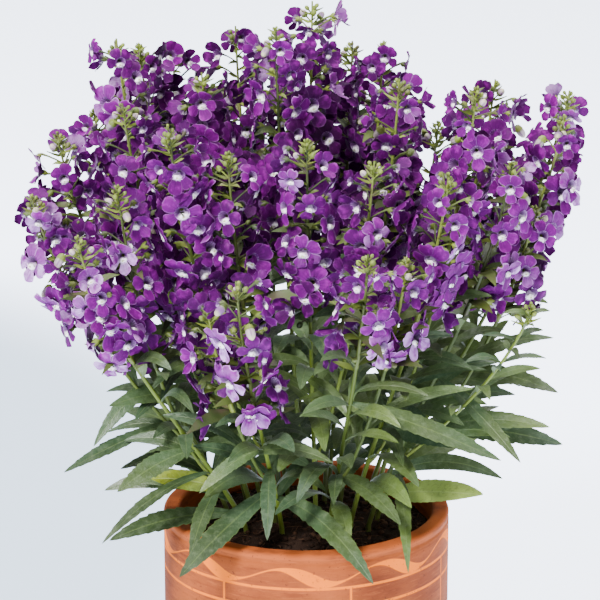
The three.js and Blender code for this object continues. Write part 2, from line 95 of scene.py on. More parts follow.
# Large leaves: main stem, height of the node above the soil, tip, width, arch and tone
LARGE_LEAVES = [
    (0, 34, (-65, -95, 135), 16, 3, DARK),
    (0, 26, (34, -100, 133), 15, 9, MIDDLE),
    (0, 50, (-20, -98, 156), 10, 6, DARK),
    (0, 66, (-55, -80, 175), 9, 4, LIGHT),
    (1, 44, (48, -92, 162), 13, 5, MIDDLE),
    (1, 24, (22, -80, 147), 11, 6, LIGHT),
    (1, 100, (99, -84, 194), 14, 2, MIDDLE),
    (4, 30, (-82, -40, 169), 13, 2, YELLOWING),
    (4, 44, (-105, -84, 149), 8, 7, DARK),
    (4, 12, (-103, -58, 141), 15, 5, DARK),
    (4, 62, (-98, -64, 170), 13, 3, MIDDLE),
    (4, 34, (-60, -84, 142), 11, 6, DARK),
    (5, 62, (-127, -45, 174), 10, 3, DARK),
    (5, 84, (-112, -32, 184), 10, 8, MIDDLE),
    (12, 62, (76, -66, 195), 16, 4, DARK),
    (13, 84, (129, -30, 243), 10, 10, MIDDLE),
    (13, 60, (127, -42, 198), 12, 6, LIGHT),
    (13, 98, (110, -70, 188), 10, 3, MIDDLE),
    (14, 16, (92, -54, 165), 20, 1, BRIGHT),
    (14, 28, (52, -92, 136), 9, 12, LIGHT),
    (14, 92, (132, -30, 213), 13, 4, MIDDLE),
    (14, 58, (136, -20, 181), 15, 3, DARK),
]

UP = np.array([0.0, 0.0, 1.0])
ACROSS = np.array([1.0, 0.0, 0.0])


class Draws:
    """Seeded random draws, the same ones as in the model's source."""

    def __init__(self, seed):
        self.seed = seed

    def __call__(self, low, high):
        self.seed = (self.seed * 1664525 + 1013904223) % 4294967296
        return low + (high - low) * self.seed / 4294967296


def unit(vector):
    return vector / np.linalg.norm(vector)


def flat(point):
    return np.array([point[0], point[1], 0.0])


def heading(azimuth):
    return np.array([math.cos(azimuth), math.sin(azimuth), 0.0])


def between(ends, share):
    return ends[0] + (ends[1] - ends[0]) * share


def soil_height(x, y):
    fall = (x * x + y * y) / (INNER_RADIUS * INNER_RADIUS)
    mound = (SOIL_EDGE_DEPTH - SOIL_CROWN_DEPTH) * min(fall, 1)
    wave = math.sin(BUMP_TURNS[0] * x + BUMP_SHIFTS[0])
    bumps = SOIL_BUMP * wave * math.cos(BUMP_TURNS[1] * y + BUMP_SHIFTS[1])
    return POT_HEIGHT - SOIL_CROWN_DEPTH - mound + bumps


# Room search: points already taken, kept in cubes with sides of one clearance

taken = {}


def cube_of(point):
    return tuple(math.floor(value / CLEARANCE) for value in point)


def is_free(samples, room=CLEARANCE):
    for point, owner, root in samples:
        cx, cy, cz = cube_of(point)
        for dx in (-1, 0, 1):
            for dy in (-1, 0, 1):
                for dz in (-1, 0, 1):
                    for other, other_owner, other_root in taken.get((cx + dx, cy + dy, cz + dz), ()):
                        kin = other_owner == owner and (root or other_root)
                        if not kin and math.dist(other, point) < room:
                            return False
    return True


def take(samples):
    for sample in samples:
        taken.setdefault(cube_of(sample[0]), []).append(sample)


def clears_pot(sample):
    point, _, root = sample
    reach = math.hypot(point[0], point[1])
    if reach > POT_RADIUS + CLEARANCE:
        return True
    if reach > INNER_RADIUS - CLEARANCE:
        return point[2] > POT_HEIGHT + RIM_ROOM
    return root or point[2] > soil_height(point[0], point[1]) + SOIL_ROOM


# Paths of the stems


class Path:
    """A chain of points with the distance run at each one."""

    def __init__(self, points):
        self.points = points
        self.run = [0.0]
        for a, b in zip(points, points[1:]):
            self.run.append(self.run[-1] + float(np.linalg.norm(b - a)))
        self.length = self.run[-1]

    def at(self, distance):
        k = 1
        while k < len(self.run) - 1 and self.run[k] < distance:
            k += 1
        share = (distance - self.run[k - 1]) / (self.run[k] - self.run[k - 1])
        step = self.points[k] - self.points[k - 1]
        return self.points[k - 1] + step * share, unit(step)


def bend(start, leave, arrive, end):
    places = [k / PATH_STEPS for k in range(PATH_STEPS + 1)]
    return [
        (1 - t) ** 3 * start + 3 * (1 - t) ** 2 * t * leave + 3 * (1 - t) * t * t * arrive + t**3 * end
        for t in places
    ]


def approach(start, tip):
    lean = (flat(tip) - flat(start)) * TIP_LEAN_SHARE
    return tip - lean - UP * TIP_RISE_SHARE * (tip[2] - start[2])


def lay_out(index, tips):
    """The paths of one main stem and of its branch, with the distances where their spikes start."""
    ends = [np.array(tip[:3], float) for tip in tips]
    main, side = ends[0], ends[-1]
    foot = (flat(main) + flat(side)) * FOOT_SPREAD / 2
    foot[2] = soil_height(foot[0], foot[1]) + 1
    splay = (flat(main) - flat(foot)) * SPLAY_SHARE
    leave = foot + splay + UP * RISE_SHARE * (main[2] - foot[2])
    paths = [Path([foot - UP * PLANTING_DEPTH, *bend(foot, leave, approach(foot, main), main)])]
    if len(ends) > 1:
        fork, direction = paths[0].at(PLANTING_DEPTH + FORK_PLACE * paths[0].length)
        toward = unit(flat(side) - flat(fork))
        start = fork + direction * FORK_AHEAD + toward * FORK_OUT
        paths.append(Path(bend(fork, start, approach(fork, side), side)))
    spikes = [tip[3] for tip in tips]
    starts = [path.length - length for path, length in zip(paths, spikes)]
    return {
        "name": f"stem_{index + 1:02d}", "owner": f"stem{index}", "foot": foot, "paths": paths,
        "spikes": spikes, "starts": starts, "leaves": [],
    }


# Flowers in space


class FlowerFrame:
    """Where a flower sits: its centre, the way it faces, its own up and side, and its root."""

    def __init__(self, place, azimuth, tilt):
        point, direction = place
        out = heading(azimuth)
        out = unit(out - direction * float(out @ direction))
        self.centre = point + out * FLOWER_REACH + direction * FLOWER_RISE
        self.facing = unit(out + UP * math.sin(tilt))
        self.side = unit(np.cross(UP, self.facing))
        self.head = np.cross(self.facing, self.side)
        self.root = point

    def at(self, degrees, radius, depth=0.0):
        angle = math.radians(degrees)
        return (self.centre + self.side * radius * math.sin(angle)
                + self.head * radius * math.cos(angle) + self.facing * depth)

    def samples(self, owner):
        points = [self.centre]
        points += [self.at(72 * k, THROAT_SAMPLE_RADIUS) for k in range(5)]
        points += [self.at(36 * k, LOBE_SAMPLE_RADIUS) for k in range(10)]
        return [(point, owner, False) for point in points]


# Leaves in space


class Leaf:
    """A leaf's midrib, steered by its root, a bend and its tip."""

    def __init__(self, root, bow, tip, width):
        self.root, self.bow, self.tip, self.width = root, bow, tip, width
        self.tone = None
        reach = flat(tip) - flat(root)
        self.turn = BLADE_FACE_TURN * reach[0] / np.linalg.norm(reach)

    def at(self, share, twist=0.0):
        direction = unit((self.bow - self.root) * (1 - share) + (self.tip - self.bow) * share)
        level = unit(np.cross(direction, UP))
        crown = np.cross(level, direction)
        turn = self.turn + twist
        point = ((1 - share) ** 2 * self.root + 2 * share * (1 - share) * self.bow
                 + share * share * self.tip)
        return (point, level * math.cos(turn) - crown * math.sin(turn),
                crown * math.cos(turn) + level * math.sin(turn))

    def samples(self, owner):
        length = float(np.linalg.norm(self.tip - self.root))
        steps = math.ceil(length / LEAF_SAMPLE_STEP)
        found = []
        for k in range(1, steps + 1):
            share = k / steps
            point, side, _ = self.at(share)
            root = share * length < LEAF_ROOT_ROOM
            half = 0.4 * self.width * min(1, 4 * share * (1.02 - share) + 0.1)
            found += [(point, owner, root), (point + side * half, owner, root),
                      (point - side * half, owner, root)]
        return found


def arched_leaf(root, azimuth, length, width, rise, droop):
    out = heading(azimuth)
    bow = (root + out * BOW_SHARE * length * math.cos(rise)
           + UP * BOW_SHARE * length * math.sin(rise))
    tip = (bow + out * END_SHARE * length * math.cos(droop)
           - UP * END_SHARE * length * math.sin(droop))
    return Leaf(root, bow, tip, width)


def keeps_in(leaf):
    """True where a leaf ends within the plant's spread, or close enough to its own root."""
    reach = math.hypot(leaf.tip[0], leaf.tip[1])
    return reach < max(LEAF_SPREAD, math.hypot(leaf.root[0], leaf.root[1]) + LEAF_SPAN)


# The plant's layout, in the same order and with the same draws as the solids

draw = Draws(20261)
stems = [lay_out(index, tips) for index, tips in enumerate(MAIN_STEMS)]
for stem in stems:
    for k, path in enumerate(stem["paths"]):
        distance = 0 if k == 0 else FORK_CLEAR
        while distance < path.length:
            take([(path.at(distance)[0], stem["owner"], False)])
            distance += STEM_SAMPLE_STEP

for index, height, tip, width, arch, tone in LARGE_LEAVES:
    stem = stems[index]
    root = stem["paths"][0].at(PLANTING_DEPTH + height)[0]
    tip = np.array(tip, float)
    leaf = Leaf(root, (root + tip) / 2 + UP * 2 * arch, tip, width)
    leaf.tone = tone
    take(leaf.samples(stem["owner"]))
    stem["leaves"].append(leaf)


def first_free(make, turns, owner, room=CLEARANCE, test=lambda piece, samples: True):
    """The first of the turned copies that stands free, and takes its room."""
    for shift in turns:
        piece = make(shift)
        samples = piece.samples(owner)
        if test(piece, samples) and is_free(samples, room):
            take(samples)
            return piece
    return None


def free_flower(spike, down, azimuth, tilt, *room_and_test):
    """A flower down its spike, turned about it to where it stands free."""
    place = spike["path"].at(spike["path"].length - down)
    return first_free(
        lambda shift: FlowerFrame(place, math.radians(azimuth + shift), math.radians(tilt)),
        FLOWER_TURNS, spike["owner"], *room_and_test)


spikes = []
for stem in stems:
    for k, path in enumerate(stem["paths"]):
        if stem["spikes"][k] == 0:
            continue
        azimuth = draw(0, 360)
        spike = {
            "name": f"spike_{len(spikes) + 1:02d}", "owner": f"{stem['owner']}spike{k}", "path": path,
            "length": stem["spikes"][k], "start": stem["starts"][k], "flowers": [], "azimuth": azimuth,
        }
        spikes.append(spike)
        down = TOP_FLOWER_PLACE
        while down < spike["length"]:
            azimuth += SPIRAL_TURN * FLOWERS_PER_SOLID
            flower = free_flower(spike, down, azimuth, draw(-12, 10))
            if flower is not None:
                spike["flowers"].append((flower, down, False))
            down += FLOWER_SPACING * FLOWERS_PER_SOLID


def leaf_fits(leaf, samples):
    return keeps_in(leaf) and all(map(clears_pot, samples))


def grow_leaf(stem, root, azimuth, shape, room=CLEARANCE, test=leaf_fits):
    """A leaf on a stem, turned about it to where it stands free, if there is such a place."""
    leaf = first_free(
        lambda shift: arched_leaf(root, azimuth + shift, *shape), LEAF_TURNS, stem["owner"], room, test)
    if leaf is not None:
        stem["leaves"].append(leaf)


def outer_leaves(stem):
    """The large leaves that grow by rule: the outer one at each node of the main stem."""
    path = stem["paths"][0]
    foot, tip = stem["foot"], path.points[PATH_STEPS]
    outward = math.atan2(tip[1] - foot[1], tip[0] - foot[0])
    turn = draw(-0.6, 0.6)
    s = PLANTING_DEPTH + FIRST_LEAF_NODE
    while s < stem["starts"][0] - LAST_LEAF_ROOM:
        share = (s - PLANTING_DEPTH) / (stem["starts"][0] - PLANTING_DEPTH)
        shape = (
            between(LEAF_LENGTHS, share) + draw(-6, 6),
            between(LEAF_WIDTHS, share) + draw(-1, 1),
            math.radians(between(LEAF_RISES, share) + draw(-10, 10)),
            math.radians(between(LEAF_DROOPS, share) + draw(-14, 14)),
        )
        grow_leaf(stem, path.at(s)[0], outward + turn, shape)
        turn = -turn + draw(-0.4, 0.4)
        s += LEAF_NODE_STEP


for stem in stems:
    outer_leaves(stem)

# What only the looks add: the flowers between the solid ones, and the smaller leaves

fine = Draws(77)
FULL_TURN = 6.28
FLOWER_ROOM, LEAF_ROOM = 1.6, 2.6
FLOWER_SPREAD = 142
FINE_SPACING, FIRST_FINE_FLOWER, FINE_OVERRUN = 3.9, 12, 4
TAPER_FROM, TAPER = 0.66, 1.6
CLOSED_SHARE, CLOSED_REACH = 0.11, 0.6
# Small leaves: lengths and widths from the lowest to the highest, and the step between their nodes
SMALL_GROWTH = (62, 38), (10.5, 7), 9.2
SHOOT_GROWTH = (46, 15), (8, 3.2), 8
SPIKE_OVERLAP, SHOOT_END = 10, 2
# Places over the rim that no small leaf fills, as their centre and radius
OPEN_PLACES = [((66, -58, 168), 24), ((-72, -66, 180), 18)]


def flower_fits(flower, samples):
    return abs(flower.centre[0]) < FLOWER_SPREAD


for spike in spikes:
    count = math.ceil((spike["length"] + FINE_OVERRUN - FIRST_FINE_FLOWER) / FINE_SPACING)
    for m in range(count):
        down = FIRST_FINE_FLOWER + m * FINE_SPACING + fine(-1.2, 1.2)
        azimuth = spike["azimuth"] + SPIRAL_TURN * (FLOWERS_PER_SOLID + m) + fine(-30, 30)
        tilt = fine(-52, 26)
        if fine(0, 1) < TAPER * (down / spike["length"] - TAPER_FROM):
            continue
        flower = free_flower(spike, down, azimuth, tilt, FLOWER_ROOM, flower_fits)
        if flower is not None:
            closed = down < CLOSED_REACH * spike["length"] and fine(0, 1) < CLOSED_SHARE
            spike["flowers"].append((flower, down, closed))


def small_leaf_fits(leaf, samples):
    for centre, radius in OPEN_PLACES:
        if any(math.dist(point, centre) <= radius for point, _, _ in samples):
            return False
    return leaf_fits(leaf, samples)


def small_leaves(stem, path, start, end, lengths, widths, step):
    azimuth = math.pi / 4 + fine(-0.3, 0.3)
    s = start
    while s < end:
        share = (s - start) / max(end - start, 1)
        for half_turn in (0, math.pi):
            shape = (
                between(lengths, share) * fine(0.75, 1.15), between(widths, share) * fine(0.85, 1.15),
                math.radians(fine(28, 58)), math.radians(fine(-6, 34)),
            )
            grow_leaf(stem, path.at(s)[0], azimuth + half_turn, shape, LEAF_ROOM, small_leaf_fits)
        azimuth += math.pi / 2 + fine(-0.3, 0.3)
        s += step


for stem in stems:
    for k, path in enumerate(stem["paths"]):
        growth = SMALL_GROWTH if stem["spikes"][k] else SHOOT_GROWTH
        start = PLANTING_DEPTH + FIRST_LEAF_NODE + SMALL_GROWTH[2] / 2 if k == 0 else 2 * FORK_CLEAR
        end = stem["starts"][k] + SPIKE_OVERLAP if stem["spikes"][k] else path.length - SHOOT_END
        small_leaves(stem, path, start, end, *growth)

# Mesh making


def grid_faces(rows, columns, first=0, closed=False):
    """Quads between rows of points, joined round where closed."""
    faces = []
    for r in range(rows - 1):
        for c in range(columns if closed else columns - 1):
            a, b = first + r * columns + c, first + r * columns + (c + 1) % columns
            faces.append((a, b, b + columns, a + columns))
    return faces


def ring_faces(rows, sides, first=0):
    return grid_faces(rows, sides, first, closed=True)


def two_sided(faces, count):
    """The faces of a thin sheet: the upper ones, and the same turned over on the next points."""
    return faces + [tuple(count + i for i in reversed(face)) for face in faces]


def around(sides):
    return 2 * np.pi * np.arange(sides) / sides


def turned(profile, sides, ahead=1):
    """Points and faces of a surface turned about the third axis, from its radii and heights."""
    points = [(r * math.sin(t), ahead * r * math.cos(t), z) for r, z in profile for t in around(sides)]
    return points, ring_faces(len(profile), sides)


def new_object(name, data):
    made = bpy.data.objects.new(name, data)
    bpy.context.scene.collection.objects.link(made)
    return made


class Builder:
    """Collects points in millimetres, faces, materials and point attributes for one piece."""

    NAMES = ("along", "across", "tone", "kind")

    def __init__(self):
        self.points, self.faces, self.materials = [], [], []
        self.values = {name: [] for name in self.NAMES}
        self.count = 0

    def add(self, points, faces, materials, **values):
        """Adds a part with one material, or with a list of one for each face."""
        points = np.asarray(points, float).reshape(-1, 3)
        self.points.append(points)
        self.faces += [tuple(self.count + i for i in face) for face in faces]
        self.materials += materials if isinstance(materials, list) else [materials] * len(faces)
        for name in self.NAMES:
            value = np.broadcast_to(np.asarray(values.get(name, 0.0), float).ravel(), (len(points),))
            self.values[name].append(value)
        self.count += len(points)

    def joined(self):
        """All points in one array, and each attribute's values in one."""
        return np.concatenate(self.points), {key: np.concatenate(self.values[key]) for key in self.NAMES}

    def finish(self, name, materials):
        points, values = self.joined()
        mesh = bpy.data.meshes.new(name)
        mesh.from_pydata(points * MM, [], self.faces)
        for material in materials:
            mesh.materials.append(material)
        mesh.polygons.foreach_set("material_index", self.materials)
        mesh.polygons.foreach_set("use_smooth", [True] * len(self.faces))
        for key in self.NAMES:
            mesh.attributes.new(key, "FLOAT", "POINT").data.foreach_set("value", values[key])
        mesh.update()
        return new_object(name, mesh)


def section_frame(direction):
    side = unit(ACROSS - direction * float(ACROSS @ direction))
    return side, np.cross(direction, side)


def add_tube(builder, centres, radii, sides, material, squareness=0.0, **values):
    """A tube through points, narrow at its open ends or hidden there in another part."""
    centres = np.asarray(centres, float)
    steps = np.gradient(centres, axis=0)
    turn = around(sides)
    swell = 1 + squareness * np.cos(4 * turn + np.pi)
    rings = []
    for centre, step, radius in zip(centres, steps, radii):
        side, front = section_frame(unit(step))
        rings.append(centre + radius * (np.outer(np.cos(turn) * swell, side)
                                        + np.outer(np.sin(turn) * swell, front)))
    along = np.repeat(np.linspace(0, 1, len(centres)), sides)
    faces = ring_faces(len(centres), sides)
    builder.add(np.concatenate(rings), faces, material, along=along, **values)


# Places of the materials in a leafy stem's list and in a spike's, where green is third in both
STEM, LEAF = 0, 1
PETAL, THROAT, GREEN = 0, 1, 2

# Leaf blade: smooth towards its root and toothed towards its tip

SMOOTH_PLACES = (0.0, 0.06, 0.14, 0.24)
TEETH, TOOTHED_FROM, TOOTHED_TO, LAST_PLACE = 9, 0.32, 0.965, 0.985
NOTCH_WIDTH, TOOTH_WIDTH, LAST_WIDTH, TOOTH_PLACE = 0.935, 1.045, 0.95, 0.8
BLADE_START, BLADE_LEAN, BLADE_FULLNESS, BLADE_SLIMNESS = 0.02, 1.08, 0.76, 0.86
STALK_WIDTH, STALK_END = 0.17, 0.2
BLADE_ACROSS = np.array([-1, -0.55, 0, 0.55, 1])
# How a blade varies along it: the depth of its teeth, its twist and its ripple
BITE, BITE_SWING, UNEVENNESS, UNEVEN_TURN = 0.65, 0.4, 0.5, 29
TWIST, TWIST_TURN, RIPPLE, RIPPLE_TURN = 0.22, 2.4, 0.35, 11
# Its section: the fold at the midrib, the curl of its halves, its thickness and its rib
FOLD, CURL, THICKNESS, RIB, RIB_TAPER, RIB_SINK = 0.24, 0.18, 0.28, 0.55, 0.6, 0.22


def blade_stations():
    """Places along the blade with the share of its width, saw teeth pointing to the tip."""
    places = [(share, 1.0) for share in SMOOTH_PLACES]
    step = (TOOTHED_TO - TOOTHED_FROM) / TEETH
    for k in range(TEETH):
        start = TOOTHED_FROM + k * step
        places += [(start, NOTCH_WIDTH), (start + TOOTH_PLACE * step, TOOTH_WIDTH)]
    return places + [(LAST_PLACE, LAST_WIDTH)]


BLADE = blade_stations()


def blade_half_width(share):
    """Half width of a lance-shaped blade, as a part of its greatest."""
    grown = math.sin(math.pi * min(1.0, (share + BLADE_START) / (1 + BLADE_START)) ** BLADE_LEAN)
    stalk = STALK_WIDTH * max(0.0, 1 - share / STALK_END)
    return max(grown ** BLADE_FULLNESS, stalk)


def add_leaf(builder, leaf, tone):
    half = BLADE_SLIMNESS * leaf.width / 2
    top, bottom = [], []
    phase = FULL_TURN * tone
    bite = BITE + BITE_SWING * math.sin(3 * phase)
    for share, tooth in BLADE:
        point, side, normal = leaf.at(share, TWIST * math.sin(phase + TWIST_TURN * share))
        uneven = bite * (1 + UNEVENNESS * math.sin(phase + UNEVEN_TURN * share))
        reach = half * blade_half_width(share) * (1 + uneven * (tooth - 1))
        ripple = RIPPLE * math.sin(phase + RIPPLE_TURN * share) * (1 - share) * share * 4
        for v in BLADE_ACROSS:
            lift = FOLD * abs(v) * reach + ripple * v * abs(v) - CURL * reach * v * v
            edge = point + side * v * reach + normal * lift
            rib = RIB * (1 - RIB_TAPER * share) if v == 0 else 0
            top.append(edge - normal * (RIB_SINK if v == 0 else 0))
            bottom.append(edge - normal * (THICKNESS * (1 - v * v) + rib))
    tip = leaf.at(1.0)[0]
    rows, columns = len(BLADE), len(BLADE_ACROSS)
    end = rows * columns
    last = end - columns
    faces = grid_faces(rows, columns) + [(last + c, last + c + 1, end) for c in range(columns - 1)]
    along = np.append(np.repeat([share for share, _ in BLADE], columns), 1.0)
    across = np.append(np.tile(BLADE_ACROSS, rows), 0.0)
    builder.add(top + [tip] + bottom + [tip], two_sided(faces, end + 1), LEAF, along=np.tile(along, 2),
                across=np.tile(across, 2), tone=tone, kind=np.repeat([0.0, 1.0], end + 1))


# Flower templates, in the flower's own side, up and front axes

# Marks on a petal's points: the face of an upper lobe, of a side one, of the lower lip, and any back
UPPER_FACE, SIDE_FACE, LOWER_FACE, BACK = 0.0, 0.25, 0.5, 1.0
# Marks on the throat's points: its inside, the pouch on the lower lip, and the skin of a bud
INSIDE, POUCH, BUD_SKIN = 0.0, 1.0, 2.0

LOBES = [  # degrees from the top, length, half width, first lift to the front, late curl, mark
    (32, 7.5, 4.6, 0.6, -3.0, UPPER_FACE),
    (106, 7.3, 3.9, 1.8, -2.6, SIDE_FACE),
    (180, 8.3, 4.0, 2.2, -1.6, LOWER_FACE),
    (254, 7.3, 3.9, 1.8, -2.6, SIDE_FACE),
    (328, 7.5, 4.6, 0.6, -3.0, UPPER_FACE),
]
LOBE_PLACES = np.array([0, 0.2, 0.4, 0.6, 0.78, 0.92, 1.0])
LOBE_BREADTHS = np.array([0.5, 0.67, 0.89, 1.0, 0.95, 0.7, 0.38])
LOBE_COLUMNS, LOBE_ROOT, LOBE_SINK, LOBE_BULGE = 5, 3.0, 0.5, 1.25
LOBE_THICKNESS, LOBE_EDGE = 0.3, 0.02
THROAT_PROFILE, THROAT_SIDES = [(3.8, 0.15), (3.1, -0.8), (1.8, -1.8), (1.1, -CALYX_DEPTH)], 12
# What changes in the lobes of a half open flower
SHORTER, MORE_LIFT, MORE_CURL = 0.16, 5.0, 1.6
POUCH_RINGS, POUCH_SECTORS, POUCH_PLACE, POUCH_HALVES = 3, 10, -2.3, (2.3, 1.45)
BUMP_PLACE, BUMP_SPREAD, BUMP_RISE, POUCH_RISE, POUCH_SINK = 1.1, 0.6, 0.9, 1.2, 1.0
# The calyx: its sepals, and the radii and places of its root, waist, tips and gaps
SEPALS, CALYX_ROOT, CALYX_WAIST = 5, (0.75, -CALYX_DEPTH - 1.1), (1.75, -CALYX_DEPTH + 0.2)
SEPAL_TIP, SEPAL_GAP = (2.5, -1.3), (2.0, -3.2)
PEDICEL_RADII, PEDICEL_SIDES = [0.6, 0.46, 0.46, 0.7], 4


def add_lobe(builder, degrees, length, half, lift, curl, mark):
    """One petal lobe as a thin closed sheet."""
    u = LOBE_PLACES[:, None]
    v = np.linspace(-1, 1, LOBE_COLUMNS)[None, :]
    x = half * fine(0.9, 1.12) * np.sin(LOBE_BULGE * v) / math.sin(LOBE_BULGE) * LOBE_BREADTHS[:, None]
    y = LOBE_ROOT + length * fine(0.92, 1.08) * u * (1 - 0.05 * v**2 * u**2)
    ruffle = fine(0.3, 0.9) * np.sin(fine(0, FULL_TURN) + 3.2 * v) * u**2
    z = -LOBE_SINK + lift * u + (curl + fine(-1.4, 1.4)) * u**2 - fine(-0.4, 1.6) * v**2 * u + ruffle
    angle = math.radians(degrees + fine(-7, 7))
    s = x * math.cos(angle) + y * math.sin(angle)
    h = -x * math.sin(angle) + y * math.cos(angle)
    top = np.stack([s, h, z], -1).reshape(-1, 3)
    under = top.copy()
    inner = (1 - (2 * u - 1) ** 4) * (1 - v**4)
    under[:, 2] -= (LOBE_THICKNESS * inner + LOBE_EDGE).ravel()
    along, across = (np.tile((part + 0 * x).ravel(), 2) for part in (u, v))
    faces = two_sided(grid_faces(len(LOBE_PLACES), LOBE_COLUMNS), len(top))
    builder.add(np.concatenate([top, under]), faces, PETAL, along=along, across=across,
                kind=np.repeat([mark, BACK], len(top)))


def add_throat(builder):
    """The short sunk tube behind the lobes."""
    points, faces = turned(THROAT_PROFILE, THROAT_SIDES)
    along = np.repeat(np.linspace(0, 1, len(THROAT_PROFILE)), THROAT_SIDES)
    across = np.tile(np.cos(around(THROAT_SIDES)), len(THROAT_PROFILE))
    builder.add(points, faces, THROAT, along=along, across=across, kind=INSIDE)


def add_pouch(builder):
    """The pale swelling on the lower lip: two small bumps side by side with a groove between them."""
    rings, sectors = POUCH_RINGS, POUCH_SECTORS
    points = [(0.0, POUCH_PLACE, 0.45)]
    for k in range(1, rings + 1):
        rho = k / rings
        for t in around(sectors):
            s, h = POUCH_HALVES[0] * rho * math.sin(t), POUCH_HALVES[1] * rho * math.cos(t)
            dome = POUCH_RISE * math.sqrt(max(0, 1 - rho * rho))
            bumps = BUMP_RISE * math.exp(-((abs(s) - BUMP_PLACE) / BUMP_SPREAD) ** 2)
            points.append((s, POUCH_PLACE + h, dome + bumps - POUCH_SINK - 0.15 * h))
    faces = [(0, 1 + k, 1 + (k + 1) % sectors) for k in range(sectors)]
    faces += ring_faces(rings, sectors, 1)
    along = np.append(0, np.repeat(np.arange(1, rings + 1) / rings, sectors))
    builder.add(points, faces, THROAT, along=along, kind=POUCH)


def add_calyx(builder):
    """Five pointed sepals round the back of the tube."""
    points, faces = [], []
    for k, t in enumerate(around(2 * SEPALS)):
        for r, z in (CALYX_ROOT, CALYX_WAIST, SEPAL_GAP if k % 2 else SEPAL_TIP):
            points.append((r * math.sin(t), r * math.cos(t), z))
        a, b = 3 * k, 3 * ((k + 1) % (2 * SEPALS))
        faces += [(a, b, b + 1, a + 1), (a + 1, b + 1, b + 2, a + 2)]
    builder.add(points, faces, GREEN)


def flower_template(cup):
    """Points, faces, materials and values of one flower, from flat open at cup 0 to half open at 1."""
    builder = Builder()
    for degrees, length, half, lift, curl, mark in LOBES:
        length = length * (1 - SHORTER * cup)
        add_lobe(builder, degrees, length, half, lift + MORE_LIFT * cup, curl + MORE_CURL * cup, mark)
    add_throat(builder)
    add_pouch(builder)
    add_calyx(builder)
    points, values = builder.joined()
    return points, builder.faces, builder.materials, values


OPEN_COUNT, HALF_OPEN_COUNT = 8, 5
open_templates = [flower_template(fine(0, 0.25)) for _ in range(OPEN_COUNT)]
half_open_templates = [flower_template(fine(0.5, 1.1)) for _ in range(HALF_OPEN_COUNT)]


def add_flower(builder, flower, template, size, roll, lean, tone):
    """A flower from its template, and its curved pedicel."""
    points, faces, materials, values = template
    facing = unit(flower.facing + flower.side * lean[0] + flower.head * lean[1])
    side = flower.side * math.cos(roll) + flower.head * math.sin(roll)
    side = unit(side - facing * float(side @ facing))
    axes = np.stack([side, np.cross(facing, side), facing])
    builder.add(flower.centre + size * points @ axes, faces, materials, **{**values, "tone": tone})
    back = flower.centre - facing * (CALYX_DEPTH + 0.9) * size
    middle = (flower.root + back) / 2 + UP * 1.1
    curve = [(1 - t) ** 2 * flower.root + 2 * t * (1 - t) * middle + t * t * back
             for t in np.linspace(0, 1, 4)]
    # the pedicel takes half the flower's tone, and with it the painted shade of inner flowers
    add_tube(builder, curve, PEDICEL_RADII, PEDICEL_SIDES, GREEN, tone=0.5 * tone)


# Bracts and buds: places along them from the root, with the share of their breadth

BRACT = [(0.0, 0.45), (0.35, 1.0), (0.7, 0.7), (1.0, 0.06)]
BUD = [(-0.5, 0.15), (-0.42, 0.62), (-0.15, 0.98), (0.15, 0.95), (0.38, 0.62), (0.5, 0.1)]
BUD_CALYX = [(-0.55, 0.3), (-0.45, 0.8), (-0.2, 1.08)]
BUD_SIDES, BUD_NECK, BUD_PEDICEL_RADII = 8, 0.4, [0.5, 0.42, 0.5]
BRACT_FOLD, BRACT_THICKNESS, BRACT_THINNING = 0.2, 0.3, 0.26


def add_bract(builder, leaf, tone):
    """A small plain leaf under a flower or a bud."""
    top, bottom = [], []
    for share, breadth in BRACT:
        point, side, normal = leaf.at(share)
        for v in (-1, 0, 1):
            edge = point + side * v * breadth * leaf.width / 2 + normal * BRACT_FOLD * abs(v)
            top.append(edge)
            bottom.append(edge - normal * (BRACT_THICKNESS - BRACT_THINNING * abs(v)))
    builder.add(top + bottom, two_sided(grid_faces(len(BRACT), 3), len(top)), GREEN, tone=tone)


def add_bud(builder, root, centre, radius, length, tone, hang=0.0, ripe=False):
    """A bud on its pedicel: green when young, pale and then violet at its tip when ripe."""
    axis = unit(unit(centre - root) - UP * hang)
    neck = centre - axis * BUD_NECK * length
    line = [root, (root + neck) / 2 + UP * hang, neck]
    add_tube(builder, line, BUD_PEDICEL_RADII, PEDICEL_SIDES, GREEN, tone=tone)
    side, front = section_frame(axis)

    def add_shell(profile, material, **values):
        points = [centre + axis * length * z + radius * r * (side * math.cos(t) + front * math.sin(t))
                  for z, r in profile for t in around(BUD_SIDES)]
        builder.add(points, ring_faces(len(profile), BUD_SIDES), material, tone=tone, **values)

    along = np.repeat([z + 0.5 for z, _ in BUD], BUD_SIDES)
    ridges = np.tile(np.cos(np.arange(BUD_SIDES) * math.pi), len(BUD))
    add_shell(BUD, THROAT if ripe else GREEN, along=along, across=ridges, kind=BUD_SKIN)
    if ripe:
        add_shell(BUD_CALYX, GREEN)


BUD_COUNT, LEAFLET_COUNT, CAPSULE_COUNT = 10, 22, 9
BUD_PLACES, BUD_REACHES, BUD_RADII, BUD_ROOM = (0.8, 13.0), (0.5, 5.2), (0.7, 1.5), 2.2
BUD_LENGTH, RIPE_SWELL, RIPE_FROM, GREEN_SHARE = 2.4, 1.25, 0.8, 0.4
LEAFLET_LENGTHS, LEAFLET_BREADTH, LEAFLET_ROOM = (8, 32), 0.26, 2
CAPSULE_LENGTH, CAPSULE_ROOM = 2.3, 3


